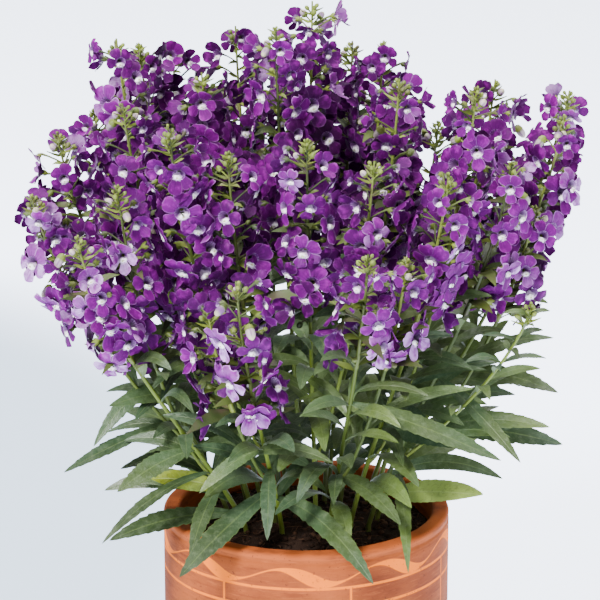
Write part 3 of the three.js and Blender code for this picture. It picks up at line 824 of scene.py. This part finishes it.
def add_buds(builder, spike, ripening=True):
    """The buds at a spike's tip, each in the axil of a bract, from the youngest down."""
    path = spike["path"]
    for k in range(BUD_COUNT):
        share = k / (BUD_COUNT - 1)
        down = between(BUD_PLACES, share ** 1.15)
        root, _ = path.at(path.length - down)
        out = heading(math.radians(spike["azimuth"] - SPIRAL_TURN * (k + 1)) + fine(-0.2, 0.2))
        reach = between(BUD_REACHES, share)
        centre = root + out * reach + UP * (1.4 + 0.7 * reach)
        radius = between(BUD_RADII, share) * fine(0.9, 1.15)
        if not is_free([(centre, spike["owner"], True)], BUD_ROOM):
            continue
        ripe = ripening and share > RIPE_FROM and fine(0, 1) > GREEN_SHARE
        swell = RIPE_SWELL if ripe else 1
        add_bud(builder, root, centre, radius * swell, BUD_LENGTH * radius * swell, fine(0.3, 1), ripe=ripe)
        bract_tip = root + out * (reach + 3.5) + UP * (1.5 + 0.3 * reach)
        bow = root + out * 0.5 * reach - UP * 0.6
        add_bract(builder, Leaf(root, bow, bract_tip, 1.9), fine(0, 1))


def add_leaflets(builder, spike):
    """Small dark leaves among the flowers of a spike's lower part."""
    path = spike["path"]
    for _ in range(LEAFLET_COUNT):
        share = fine(0.35, 1)
        root, _ = path.at(path.length - spike["length"] * share)
        length = between(LEAFLET_LENGTHS, share) * fine(0.8, 1.2)
        leaf = arched_leaf(
            root, fine(0, 2 * math.pi), length, LEAFLET_BREADTH * length, fine(0.1, 0.9), fine(-0.2, 0.6))
        free_part = [sample for sample in leaf.samples(spike["owner"]) if not sample[2]]
        if is_free(free_part, LEAFLET_ROOM):
            add_bract(builder, leaf, fine(0, 0.3))


def add_capsules(builder, spike):
    """Young seed capsules on thin pedicels, left where flowers have dropped off."""
    path = spike["path"]
    for _ in range(CAPSULE_COUNT):
        root, _ = path.at(path.length - spike["length"] * fine(0.3, 1))
        centre = root + heading(fine(0, 2 * math.pi)) * fine(7, 13) + UP * fine(0, 6)
        radius = fine(1.1, 1.7)
        if is_free([(centre, spike["owner"], True)], CAPSULE_ROOM):
            add_bud(builder, root, centre, radius, CAPSULE_LENGTH * radius, fine(0, 0.4), fine(0, 0.8))


# Materials


def rgb(red, green, blue):
    """A colour given as the screen shows it, from 0 to 255, as the linear one that shaders use."""
    linear = [c / 255 for c in (red, green, blue)]
    return (*[c / 12.92 if c <= 0.04045 else ((c + 0.055) / 1.055) ** 2.4 for c in linear], 1)


class Field:
    """A number or a colour that nodes work out at each point. Arithmetic on it adds nodes."""

    def __init__(self, nodes, socket):
        self.nodes, self.socket = nodes, socket

    def __add__(self, other):
        return self.nodes.math("ADD", self, other)

    def __sub__(self, other):
        return self.nodes.math("SUBTRACT", self, other)

    def __mul__(self, other):
        return self.nodes.math("MULTIPLY", self, other)

    def __pow__(self, other):
        return self.nodes.math("POWER", self, other)

    def __abs__(self):
        return self.nodes.math("ABSOLUTE", self)

    def ramp(self, low, high):
        """A smooth rise from 0 at low to 1 at high."""
        inputs = {"Value": self, "From Min": low, "From Max": high}
        return self.nodes.put("ShaderNodeMapRange", 0, inputs, interpolation_type="SMOOTHSTEP")


class Nodes:
    """A new material's nodes, with short forms for adding them."""

    def __init__(self, name):
        self.material = bpy.data.materials.new(name)
        self.material.use_nodes = True
        self.tree = self.material.node_tree
        self.shader = self.tree.nodes["Principled BSDF"]

    def put(self, kind, output, inputs=(), **settings):
        """One output of a new node, after its settings and its inputs."""
        node = self.tree.nodes.new(kind)
        for key, value in settings.items():
            setattr(node, key, value)
        for key, value in dict(inputs).items():
            self.feed(node.inputs[key], value)
        return Field(self, node.outputs[output])

    def feed(self, socket, value):
        if isinstance(value, Field):
            self.tree.links.new(value.socket, socket)
        else:
            socket.default_value = value

    def math(self, operation, a, b=0):
        return self.put("ShaderNodeMath", 0, {0: a, 1: b}, operation=operation)

    def values(self, *names):
        """Point attributes by their names."""
        return [self.put("ShaderNodeAttribute", "Fac", attribute_name=name) for name in names]

    def position(self):
        return self.put("ShaderNodeTexCoord", "Object")

    def scaled(self, scale, shift=(0, 0, 0)):
        inputs = {"Vector": self.position(), "Location": shift, "Scale": scale}
        return self.put("ShaderNodeMapping", 0, inputs)

    def noise(self, scale, detail=3, roughness=0.55, seed=0, place=None):
        inputs = {"Scale": scale, "Detail": detail, "Roughness": roughness, "W": seed}
        inputs["Vector"] = place or self.position()
        return self.put("ShaderNodeTexNoise", "Fac", inputs, noise_dimensions="4D")

    def mix(self, share, *colours):
        """The first colour at a share of 0, and the second at 1."""
        first, second = (c if isinstance(c, Field) else rgb(*c) for c in colours)
        return self.put("ShaderNodeMix", 2, {0: share, 6: first, 7: second}, data_type="RGBA")

    def layers(self, base, *layers):
        """A base with colours laid over it one after another, each by its own share."""
        for share, colour in layers:
            base = self.mix(share, base, colour)
        return base

    def bump(self, height, strength, distance):
        return self.put("ShaderNodeBump", 0, {"Height": height, "Strength": strength, "Distance": distance})

    def surface(self, **inputs):
        """The finished material, its shader's inputs given by name with _ for each space."""
        for name, value in inputs.items():
            self.feed(self.shader.inputs[name.replace("_", " ")], value)
        return self.material


def petal_material():
    n = Nodes("petal")
    along, across, tone, kind = n.values("along", "across", "tone", "kind")
    lip = kind.ramp(0.1, 0.2)
    lower = kind.ramp(0.3, 0.4) * kind.ramp(0.8, 0.7)
    back = kind.ramp(0.7, 0.8)
    # painted highlight: brighter speckles towards the lobes' ends stand in for light through and off the
    # petals
    painted_highlights = n.noise(260, 3).ramp(0.45, 0.7) * along.ramp(0.15, 0.7)
    # painted shade: dark patches across the petals
    shade_blotches = n.noise(140, 2, seed=2).ramp(0.45, 0.7)
    pale = tone.ramp(0.76, 1) * n.noise(190, 2, seed=5).ramp(0.3, 0.65)
    veins = n.math("SINE", across * 17).ramp(0.3, 1) * along.ramp(0.85, 0.1)
    white = lower * (along + n.noise(500, 2) * 0.5).ramp(0.43, 0.27)
    # painted highlight: pale lilac along the lobes' edges
    rim_highlight = n.math("MAXIMUM", abs(across) ** 12, along.ramp(0.94, 1))
    base = n.layers(
        n.mix(tone, (57, 0, 62), (101, 1, 106)),
        (painted_highlights * 0.55, (146, 20, 148)),
        (shade_blotches * 0.5, (50, 0, 54)),
        (pale * (lip * 0.6 + 0.12), (204, 162, 220)),
        (veins * 0.4, (40, 0, 52)),
        (along.ramp(0.2, 0) * 0.3, (112, 44, 130)),
        (white * 0.85, (226, 208, 232)),
        (rim_highlight * (tone.ramp(0.45, 1) * 0.45 + 0.12), (220, 158, 232)),
        (back * 0.35, (70, 14, 78)),
        # painted shade: tones below 0, given to inner flowers, darken them towards brown-black
        (tone.ramp(0.1, -0.5) * 0.7, (38, 8, 34)))
    relief = n.bump(veins * 0.5 + n.noise(900, 2), 0.35, 0.0004)
    return n.surface(Base_Color=base, Roughness=0.5, Normal=relief, Specular_IOR_Level=0.07)


def throat_material():
    """A flower's striped inside, its pale spotted pouch, and the skin of a ripe bud."""
    n = Nodes("throat")
    along, across, tone, kind = n.values("along", "across", "tone", "kind")
    stripes = n.math("SINE", n.math("ARCCOSINE", across) * 17).ramp(0.1, 0.7)
    # the inside darkens deeper into the tube: painted shade in the recess
    inside = n.layers(
        n.mix(along.ramp(0, 0.6), (120, 66, 132), (70, 26, 78)),
        (stripes * (across.ramp(-0.3, 0.35) * 0.85), (40, 10, 50)),
        (across.ramp(-0.2, -0.7) * 0.8, (204, 178, 208)))
    spots = n.noise(1500, 1).ramp(0.62, 0.7)
    pouch = n.layers(
        n.mix(along.ramp(0.55, 0.1), (242, 236, 238), (226, 224, 150)),
        (spots * 0.35, (130, 70, 130)))
    petals = n.layers(
        n.mix(tone, (92, 34, 110), (176, 160, 158)),
        (across.ramp(0, 0.9) * 0.7, (92, 48, 100)))
    bud = n.layers(
        n.mix(along.ramp(0.2, 0.5), (104, 126, 34), petals),
        (along.ramp(0.66, 0.95) * 0.7, (180, 176, 128)))
    is_pouch, is_bud = kind.ramp(0.45, 0.55), kind.ramp(1.45, 1.55)
    colour = n.mix(is_bud, n.mix(is_pouch, inside, pouch), bud)
    return n.surface(Base_Color=colour, Roughness=0.5, Normal=n.bump(n.noise(1200, 2), 0.3, 0.0003))


def green_material():
    n = Nodes("calyx_green")
    base = n.layers(
        n.mix(n.values("tone")[0], (36, 48, 16), (126, 140, 48)),
        (n.noise(420, 2) * 0.4, (66, 76, 40)),
        (n.noise(90, 2, seed=3).ramp(0.5, 0.7) * 0.45, (76, 44, 48)))
    relief = n.bump(n.noise(1400, 2), 0.4, 0.0003)
    return n.surface(Base_Color=base, Roughness=0.5, Normal=relief, Specular_IOR_Level=0.35)


def stem_material():
    n = Nodes("stem_green")
    tone, along = n.values("tone", "along")
    streaks = n.noise(900, 3, place=n.scaled((1, 1, 0.12)))
    base = n.layers(
        n.mix(tone, (36, 52, 18), (106, 124, 36)),
        (along.ramp(0.35, 0) * 0.55, (92, 94, 42)),
        (streaks * 0.4, (58, 66, 30)))
    relief = n.bump(streaks, 0.5, 0.0004)
    return n.surface(Base_Color=base, Roughness=0.45, Normal=relief, Specular_IOR_Level=0.25)


def leaf_material():
    n = Nodes("leaf")
    along, across, tone, under = n.values("along", "across", "tone", "kind")
    side = abs(across)
    patches = n.noise(60, 3)
    cool = n.noise(18, 1, seed=11).ramp(0.46, 0.62)
    bright = tone.ramp(1, BRIGHT)
    tipped = along.ramp(0.45, 0.95) * tone.ramp(0.65, 0.9)
    yellow = tone.ramp(BRIGHT, YELLOWING) * patches.ramp(0.2, 0.5)
    veins = n.math("SINE", along * 70 - side * 8).ramp(0.75, 1) * side.ramp(0.98, 0.55)
    lines = n.math("MAXIMUM", veins * 0.1, side.ramp(0.12, 0.02) * 0.4)
    # pale grey-green patches: partly the grey of the leaves' fine hairs, partly painted sheen
    hairs_and_sheen = n.noise(260, 4, 0.7, seed=4).ramp(0.42, 0.76)
    mottle = n.noise(420, 3, 0.65, seed=7).ramp(0.48, 0.7)
    base = n.layers(
        n.mix(n.math("MINIMUM", tone, 1), (31, 47, 22), (78, 94, 42)),
        (patches.ramp(0.45, 0.7) * 0.45, (70, 86, 50)),
        (cool * 0.4, (50, 78, 58)),
        (bright * 0.95, (170, 192, 94)),
        (tipped * 0.45, (88, 110, 36)),
        (yellow * 0.9, (118, 126, 12)),
        (lines * 0.6, n.mix(bright, (112, 130, 70), (208, 222, 156))),
        (side.ramp(0.92, 1) * 0.3, (104, 120, 50)),
        (under * 0.5, (92, 108, 70)),
        (hairs_and_sheen * 0.26, (126, 140, 110)),
        (mottle * 0.35, (34, 48, 24)))
    relief = n.bump(n.noise(1100, 2) * 0.6 + mottle * 0.3 - lines, 0.5, 0.0005)
    return n.surface(
        Base_Color=base, Roughness=patches * 0.2 + 0.3, Normal=relief, Specular_IOR_Level=0.4,
        Sheen_Weight=0.06, Sheen_Roughness=0.4)


# Slip on the clay, in millimetres: a ribbon wave, two ruled rings, and short upright lines below
CREST_ANGLE = math.radians(-10.4)
WAVE_COUNT, WAVE_HEIGHT, WAVE_SWING = 9, 127.6, 3.9
RIBBON_LEAST, RIBBON_GROWTH = 0.35, 3.4
RING_HEIGHTS = (121, 110)
TICK_ANGLE, TICK_COUNT, TICK_END = math.radians(-34), 7, 58


def clay_material():
    """Fired clay with a brushed slip: a ribbon wave under the lip, and thin ruled lines below it."""
    n = Nodes("clay")
    x, y, z = (n.put("ShaderNodeSeparateXYZ", axis, {0: n.position()}) for axis in "XYZ")
    height = z * 1000
    radius = n.math("SQRT", x * x + y * y) * 1000
    angle = n.math("ARCTAN2", x, y * -1)
    wobble = (n.noise(28, 2) - 0.5) * 1.6

    grain = n.noise(700, 4, 0.7)
    level = n.scaled((1, 1, 9))
    strokes = n.noise(34, 4, 0.65, place=level).ramp(0.48, 0.72)
    streaks = n.noise(110, 3, 0.6, 6, level).ramp(0.5, 0.75)
    body = n.layers(
        n.mix(n.noise(22, 4).ramp(0.3, 0.7), (108, 49, 22), (146, 72, 32)),
        (grain.ramp(0.5, 0.75) * 0.35, (96, 40, 20)),
        (height.ramp(RING_HEIGHTS[0], POT_HEIGHT - 4) * 0.35, (160, 78, 28)),
        (strokes * 0.7, (90, 39, 19)),
        (streaks * 0.45, (166, 86, 42)))

    wave = (angle - CREST_ANGLE) * WAVE_COUNT
    middle = n.math("COSINE", wave) * WAVE_SWING + WAVE_HEIGHT
    falling = n.math("SINE", wave - 0.25) * 0.5 + 0.5
    breadth = falling ** 2 * RIBBON_GROWTH + RIBBON_LEAST
    lines = (abs(height + wobble - middle) - breadth).ramp(0.4, -0.3)
    for ring in RING_HEIGHTS:
        gap = abs(height + wobble * 0.5 - ring)
        lines = n.math("MAXIMUM", lines, gap.ramp(1, 0.5))
    turns = (angle - TICK_ANGLE) * (TICK_COUNT / (2 * math.pi))
    ticks = abs(n.math("FRACT", turns + 10.5) - 0.5).ramp(0.012, 0.006)
    ticks *= height.ramp(RING_HEIGHTS[0], RING_HEIGHTS[0] - 0.5)
    lines = n.math("MAXIMUM", lines, ticks * height.ramp(TICK_END, TICK_END + 2))

    lip = height.ramp(POT_HEIGHT - 3.4, POT_HEIGHT - 2.8)
    bare = n.math("MAXIMUM", lip, radius.ramp(POT_RADIUS - 1.6, POT_RADIUS - 2.4))
    brushed = n.noise(260, 4, 0.65).ramp(0.25, 0.45)
    lines = lines * n.math("SUBTRACT", 1, bare) * brushed
    colour = n.layers(
        body,
        (lines, n.mix(n.noise(60, 3), (206, 94, 0), (226, 112, 6))),
        (bare, n.mix(strokes, (152, 74, 32), (108, 50, 24))),
        (n.noise(620, 1, seed=9).ramp(0.68, 0.72) * 0.6, (70, 32, 22)))
    relief = n.bump(grain * 0.35 - lines * 0.5, 0.5, 0.0006)
    return n.surface(Base_Color=colour, Roughness=grain * 0.25 + 0.6, Normal=relief, Specular_IOR_Level=0.1)


def soil_material():
    n = Nodes("soil")
    fibre = n.noise(1300, 4, 0.7)
    base = n.layers(
        n.mix(n.noise(160, 4, 0.7), (22, 14, 10), (54, 35, 25)),
        (n.values("tone")[0].ramp(0.2, 1), (86, 60, 44)),
        (fibre.ramp(0.55, 0.8) * 0.5, (88, 66, 50)))
    relief = n.bump(fibre, 0.9, 0.0012)
    return n.surface(Base_Color=base, Roughness=0.9, Normal=relief, Specular_IOR_Level=0.15)


def floor_material():
    """A pale studio floor that gives off a soft light, with a painted shade that dims it to the left behind
    the pot.
    """
    n = Nodes("floor")
    # painted shade: a soft dim spot to the left of and behind the pot
    spot = n.scaled((1.8, 1.33, 1), (0.81, -0.47, 0))
    reach = n.put("ShaderNodeVectorMath", "Value", {0: spot}, operation="LENGTH")
    shade = n.layers(
        n.mix(n.noise(1.5, 2), (221, 230, 247), (225, 234, 251)),
        (reach.ramp(1, 0.62), (144, 157, 172)))
    return n.surface(
        Base_Color=shade, Roughness=0.9, Specular_IOR_Level=0.1, Emission_Color=shade,
        Emission_Strength=3.4)


# Pieces: the leafy stems


def set_up(piece, slot, *nodes):
    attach(piece, "root")
    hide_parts(*nodes)


petal, throat, green = petal_material(), throat_material(), green_material()
stem_green, leaf_green = stem_material(), leaf_material()

# The stems are a little slimmer than their solids, and end a little inside their spikes
SLIMNESS, BRANCH_SLIMNESS, STEM_OVERLAP = 0.68, 0.85, 0.3
STEM_SIDES, STEM_SQUARENESS, STEM_RING_STEP, SHOOT_POINT = 8, 0.07, 7, 0.2


def stem_radius(stem, k, share):
    first = GROUND_RADIUS if k == 0 else BRANCH_SLIMNESS * STEM_TOP_RADIUS
    last = STEM_TOP_RADIUS if stem["spikes"][k] else SHOOT_TIP_RADIUS
    return SLIMNESS * between((first, last), share)


for stem in stems:
    builder = Builder()
    for k, path in enumerate(stem["paths"]):
        end = stem["starts"][k] + (STEM_OVERLAP if stem["spikes"][k] else 0)
        distances = np.linspace(0, end, max(8, round(end / STEM_RING_STEP)))
        centres = [path.at(s)[0] for s in distances]
        radii = [stem_radius(stem, k, s / end) for s in distances]
        if not stem["spikes"][k]:
            radii[-1] = SHOOT_POINT
        add_tube(builder, centres, radii, STEM_SIDES, STEM, STEM_SQUARENESS, tone=fine(0, 1))
    for leaf in stem["leaves"]:
        tone = fine(0, 1)  # drawn for every leaf
        add_leaf(builder, leaf, tone if leaf.tone is None else leaf.tone)
    if not stem["spikes"][-1]:
        shoot = {"path": stem["paths"][-1], "owner": stem["owner"], "azimuth": 0}
        add_buds(builder, shoot, ripening=False)
    piece = builder.finish(f"leafy_{stem['name']}", [stem_green, leaf_green, green])
    set_up(piece, "foliage", stem["name"])

# Pieces: the spikes

RACHIS_RADII, RACHIS_SIDES, RACHIS_RING_STEP, RACHIS_END = (1.35, 0.5), 7, 6, 0.2
# Where a flower is full grown down its spike, and its sizes and chances to be half open till there
GROWN_AFTER, FLOWER_SIZES, HALF_OPEN_SHARES = 25, (0.72, 1.0), (0.6, 0.16)
# Painted shade: inner flowers are darker, for the shade inside the plant. Where the plant's outside is, and
# what is added to a flower's tone
OUTSIDE_RADIUS, OUTSIDE_FROM, OUTSIDE_RISE, INNER_SHADE_SHIFTS = 95, 290, 90, (-0.5, 0.06)
LEAFY_FROM = 0.35


def add_closed_flower(builder, flower):
    centre = flower.centre - flower.facing * 3 - UP * 3
    add_bud(builder, flower.root, centre, fine(2.0, 2.6), fine(7.0, 8.6), fine(0, 1), fine(0.3, 1.6), True)


def add_open_flower(builder, flower, down, length):
    """A flower at a distance down its spike, with its bract."""
    age = min(1.0, max(0.0, (down - TOP_FLOWER_PLACE) / GROWN_AFTER))
    size = between(FLOWER_SIZES, age) * fine(0.84, 1.08)
    choices = half_open_templates if fine(0, 1) < between(HALF_OPEN_SHARES, age) else open_templates
    template = choices[int(fine(0, len(choices)))]
    # painted shade: flowers deep in the plant, or facing into it, get lower tones
    outer = max(math.hypot(flower.centre[0], flower.centre[1]) / OUTSIDE_RADIUS,
                (flower.centre[2] - OUTSIDE_FROM) / OUTSIDE_RISE)
    outer *= 0.75 + 0.25 * float(flower.facing @ unit(flat(flower.centre)))
    tone = between(INNER_SHADE_SHIFTS, min(1, outer)) + fine(0, 1)
    lean = fine(-0.32, 0.32), fine(-0.32, 0.32)
    add_flower(builder, flower, template, size, math.radians(fine(-30, 30)), lean, tone)
    out = unit(flat(flower.centre) - flat(flower.root))
    leafy = max(0.0, down / length - LEAFY_FROM) * fine(0.4, 1.3)
    reach = 6 + 22 * leafy
    bract_tip = flower.root + out * reach - UP * reach * fine(-0.5, 0.33)
    bow = flower.root + out * reach / 2 + UP * reach / 4
    bract = Leaf(flower.root, bow, bract_tip, 2.2 + 4.5 * leafy)
    add_bract(builder, bract, fine(0, 1) * (1 - 0.6 * min(1, 2 * leafy)))


for spike in spikes:
    builder = Builder()
    path = spike["path"]
    rings = max(8, round(spike["length"] / RACHIS_RING_STEP))
    distances = np.linspace(spike["start"], path.length - RACHIS_END, rings)
    radii = [between(RACHIS_RADII, (s - spike["start"]) / spike["length"]) for s in distances]
    add_tube(builder, [path.at(s)[0] for s in distances], radii, RACHIS_SIDES, GREEN, tone=fine(0, 1))
    for flower, down, closed in spike["flowers"]:
        if closed:
            add_closed_flower(builder, flower)
        else:
            add_open_flower(builder, flower, down, spike["length"])
    add_buds(builder, spike)
    add_capsules(builder, spike)
    add_leaflets(builder, spike)
    piece = builder.finish(f"flowering_{spike['name']}", [petal, throat, green])
    set_up(piece, "petals", spike["name"])

# Pieces: the pot

POT_SIDES, DRAIN_SIDES = 160, 24
LIP, FOOT, GROOVE, GROOVE_PLACE, GROOVE_HALF = 2.2, 2.6, 0.7, 5.0, 0.7
FLOOR_MIDDLE = 8


def arc(centre_r, centre_z, radius, start, end, steps):
    """Points on a circular arc, its angles in degrees from the outward level direction."""
    angles = [math.radians(start + (end - start) * k / steps) for k in range(steps + 1)]
    return [(centre_r + radius * math.cos(t), centre_z + radius * math.sin(t)) for t in angles]


def clay_pot():
    """The pot turned from its underside over its foot, wall and lip to its floor, with both ends capped."""
    wall = [(POT_RADIUS, z) for z in np.linspace(3.0, POT_HEIGHT - 6.4, 30)]
    profile = [
        (FLOOR_MIDDLE, 0), (40, 0), (POT_RADIUS - 2.8, 0),
        *arc(POT_RADIUS - FOOT, FOOT, FOOT, -80, 0, 4),
        *wall[1:],
        (POT_RADIUS - GROOVE / 2, POT_HEIGHT - GROOVE_PLACE - GROOVE_HALF),
        (POT_RADIUS - GROOVE, POT_HEIGHT - GROOVE_PLACE),
        (POT_RADIUS - GROOVE / 2, POT_HEIGHT - GROOVE_PLACE + GROOVE_HALF),
        *arc(POT_RADIUS - LIP, POT_HEIGHT - LIP, LIP, -15, 90, 6),
        *arc(INNER_RADIUS + LIP, POT_HEIGHT - LIP, LIP, 90, 180, 6),
        *[(INNER_RADIUS, z) for z in np.linspace(POT_HEIGHT - 5, POT_FLOOR, 8)],
        (30, POT_FLOOR), (FLOOR_MIDDLE, POT_FLOOR),
    ]
    points, faces = turned(profile, POT_SIDES, -1)
    last = len(points) - POT_SIDES
    faces += [tuple(reversed(range(POT_SIDES))), tuple(range(last, last + POT_SIDES))]
    builder = Builder()
    builder.add(points, faces, 0)
    return builder.finish("clay_pot", [clay_material()])


def cut_drains(pot):
    """Cuts the round drain holes through the pot's floor."""
    shape = bmesh.new()
    for k in range(DRAIN_COUNT):
        angle = 2 * math.pi * k / DRAIN_COUNT
        place = Vector((math.sin(angle), math.cos(angle), 0)) * DRAIN_CIRCLE * MM
        bmesh.ops.create_cone(
            shape, cap_ends=True, segments=DRAIN_SIDES, radius1=DRAIN_RADIUS * MM,
            radius2=DRAIN_RADIUS * MM, depth=3 * POT_FLOOR * MM, matrix=Matrix.Translation(place))
    drill = new_object("drill", bpy.data.meshes.new("drill"))
    shape.to_mesh(drill.data)
    shape.free()
    cut = pot.modifiers.new("drains", "BOOLEAN")
    cut.operation, cut.solver, cut.object = "DIFFERENCE", "EXACT", drill
    whole = pot.data
    pot.data = bpy.data.meshes.new_from_object(pot.evaluated_get(bpy.context.evaluated_depsgraph_get()))
    pot.modifiers.clear()
    bpy.data.objects.remove(drill)
    bpy.data.meshes.remove(whole)
    for face in pot.data.polygons:
        face.use_smooth = face.center.z > 1.1 * POT_FLOOR * MM or abs(face.normal.z) < 0.9


pot = clay_pot()
cut_drains(pot)
set_up(pot, "clay", "pot")

# Pieces: the soil

SOIL_ROWS, SOIL_SECTORS, SOIL_GAP = 26, 96, 0.4
CHUNKS, CHUNK_MARGIN, CHUNK_RINGS, CHUNK_SECTORS = 780, 3.5, 4, 6
FIBRES, FIBRE_MARGIN, FIBRE_LIFT = 420, 5, 0.9


def add_soil_top(builder):
    points = []
    for k in range(SOIL_ROWS):
        r = (INNER_RADIUS - SOIL_GAP) * (k + 0.02) / (SOIL_ROWS - 1 + 0.02)
        for t in around(SOIL_SECTORS):
            x, y = r * math.sin(t), -r * math.cos(t)
            lump = noise.noise(Vector((x * 0.22, y * 0.22, 0.0)))
            lump += 0.6 * noise.noise(Vector((x * 0.6, y * 0.6, 4.0)))
            points.append((x, y, soil_height(x, y) + 1.3 * lump - 0.4))
    builder.add(points, ring_faces(SOIL_ROWS, SOIL_SECTORS), 0, tone=0.1)
    wall = points[-SOIL_SECTORS:]
    wall += [(x, y, POT_FLOOR + SOIL_GAP) for x, y, _ in wall]
    wall += [(0.02 * x, 0.02 * y, z) for x, y, z in wall[SOIL_SECTORS:]]
    builder.add(wall, ring_faces(3, SOIL_SECTORS), 0)


def soil_spot(margin):
    """A drawn place on the soil, further than the margin from the pot's wall."""
    r = (INNER_RADIUS - margin) * math.sqrt(fine(0, 1))
    t = fine(0, 2 * math.pi)
    x, y = r * math.sin(t), r * math.cos(t)
    return np.array([x, y, soil_height(x, y)])


def add_chunk(builder, centre, size):
    """A crumb of bark: a small rough lump."""
    stretch = np.array([fine(0.7, 1.5), fine(0.5, 1.0), fine(0.35, 0.7)]) * size
    turn, tip = fine(0, FULL_TURN), fine(-0.5, 0.5)
    points = []
    for k in range(CHUNK_RINGS):
        phi = math.pi * (k + 0.12) / (CHUNK_RINGS - 1 + 0.24)
        for theta in around(CHUNK_SECTORS):
            ball = np.append(heading(theta)[:2] * math.sin(phi), math.cos(phi))
            points.append(ball * stretch * fine(0.75, 1.2))
    c, s = math.cos(turn), math.sin(turn)
    points = np.array(points) @ np.array([[c, s, 0], [-s, c, 0], [0, 0, 1]])
    c, s = math.cos(tip), math.sin(tip)
    points = points @ np.array([[1, 0, 0], [0, c, s], [0, -s, c]])
    faces = ring_faces(CHUNK_RINGS, CHUNK_SECTORS)
    builder.add(points + centre, faces, 0, tone=fine(0, 1) ** 2)


def add_fibre(builder, centre):
    """A thin bent fibre of peat that lies on the soil."""
    run = heading(fine(0, FULL_TURN)) * fine(1.5, 4.5)
    kink = UP * fine(0.2, 1.2) + np.cross(UP, run) * fine(-0.3, 0.3)
    line = [centre - run, centre + kink, centre + run]
    add_tube(builder, line, [0.15, 0.32, 0.12], 3, 0, tone=fine(0.2, 1.1))


builder = Builder()
add_soil_top(builder)
for _ in range(CHUNKS):
    spot = soil_spot(CHUNK_MARGIN)
    add_chunk(builder, spot + UP * fine(-0.6, 0.7), fine(0.9, 2.6))
for _ in range(FIBRES):
    add_fibre(builder, soil_spot(FIBRE_MARGIN) + UP * FIBRE_LIFT)
soil = builder.finish("bark_soil", [soil_material()])
set_up(soil, "soil", "soil")

# Studio: the floor in millimetres, the lights and the camera in metres

FLOOR_HALF = 12_000
LIGHTS = [  # name, place, target, size and power
    ("key", (-1.1, -1.6, 1.9), (0, 0, 0.25), 0.8, 180),
    ("fill", (1.6, -1.3, 1.0), (0, 0, 0.25), 1.6, 18),
    ("top", (0.1, 0.2, 2.2), (0, 0, 0.3), 1.2, 55),
    ("floor_wash", (0.2, 1.3, 1.9), (0.2, 1.4, 0), 2.6, 60),
]
AIR_COLOUR, AIR_STRENGTH = (0.97, 0.98, 1.0, 1.0), 0.5
# The photograph's view: 16 degrees above the level, looking just over the rim
CAMERA_RISE, CAMERA_DISTANCE, CAMERA_TARGET = math.radians(16), 1.590, Vector((-0.0034, 0.0, 0.255))
CAMERA_LENS, SENSOR = 180.0, 36.0


def aim(thing, place, direction):
    thing.location = place
    thing.rotation_euler = direction.to_track_quat("-Z", "Y").to_euler()


builder = Builder()
corners = [(-1, -1, 0), (1, -1, 0), (1, 1, 0), (-1, 1, 0)]
builder.add(np.array(corners) * FLOOR_HALF, [(0, 1, 2, 3)], 0)
builder.finish("studio_floor", [floor_material()])

for name, place, target, size, power in LIGHTS:
    light = bpy.data.lights.new(name, "AREA")
    light.shape, light.size, light.energy = "DISK", size, power
    aim(new_object(name, light), place, Vector(target) - Vector(place))

world = bpy.data.worlds.new("studio_air")
world.use_nodes = True
air = world.node_tree.nodes["Background"].inputs
air["Color"].default_value, air["Strength"].default_value = AIR_COLOUR, AIR_STRENGTH
bpy.context.scene.world = world

view = bpy.data.cameras.new("camera")
view.lens, view.sensor_width, view.sensor_fit = CAMERA_LENS, SENSOR, "HORIZONTAL"
camera = new_object("camera", view)
look = Vector((0, math.cos(CAMERA_RISE), -math.sin(CAMERA_RISE)))
aim(camera, CAMERA_TARGET - look * CAMERA_DISTANCE, look)
bpy.context.scene.camera = camera
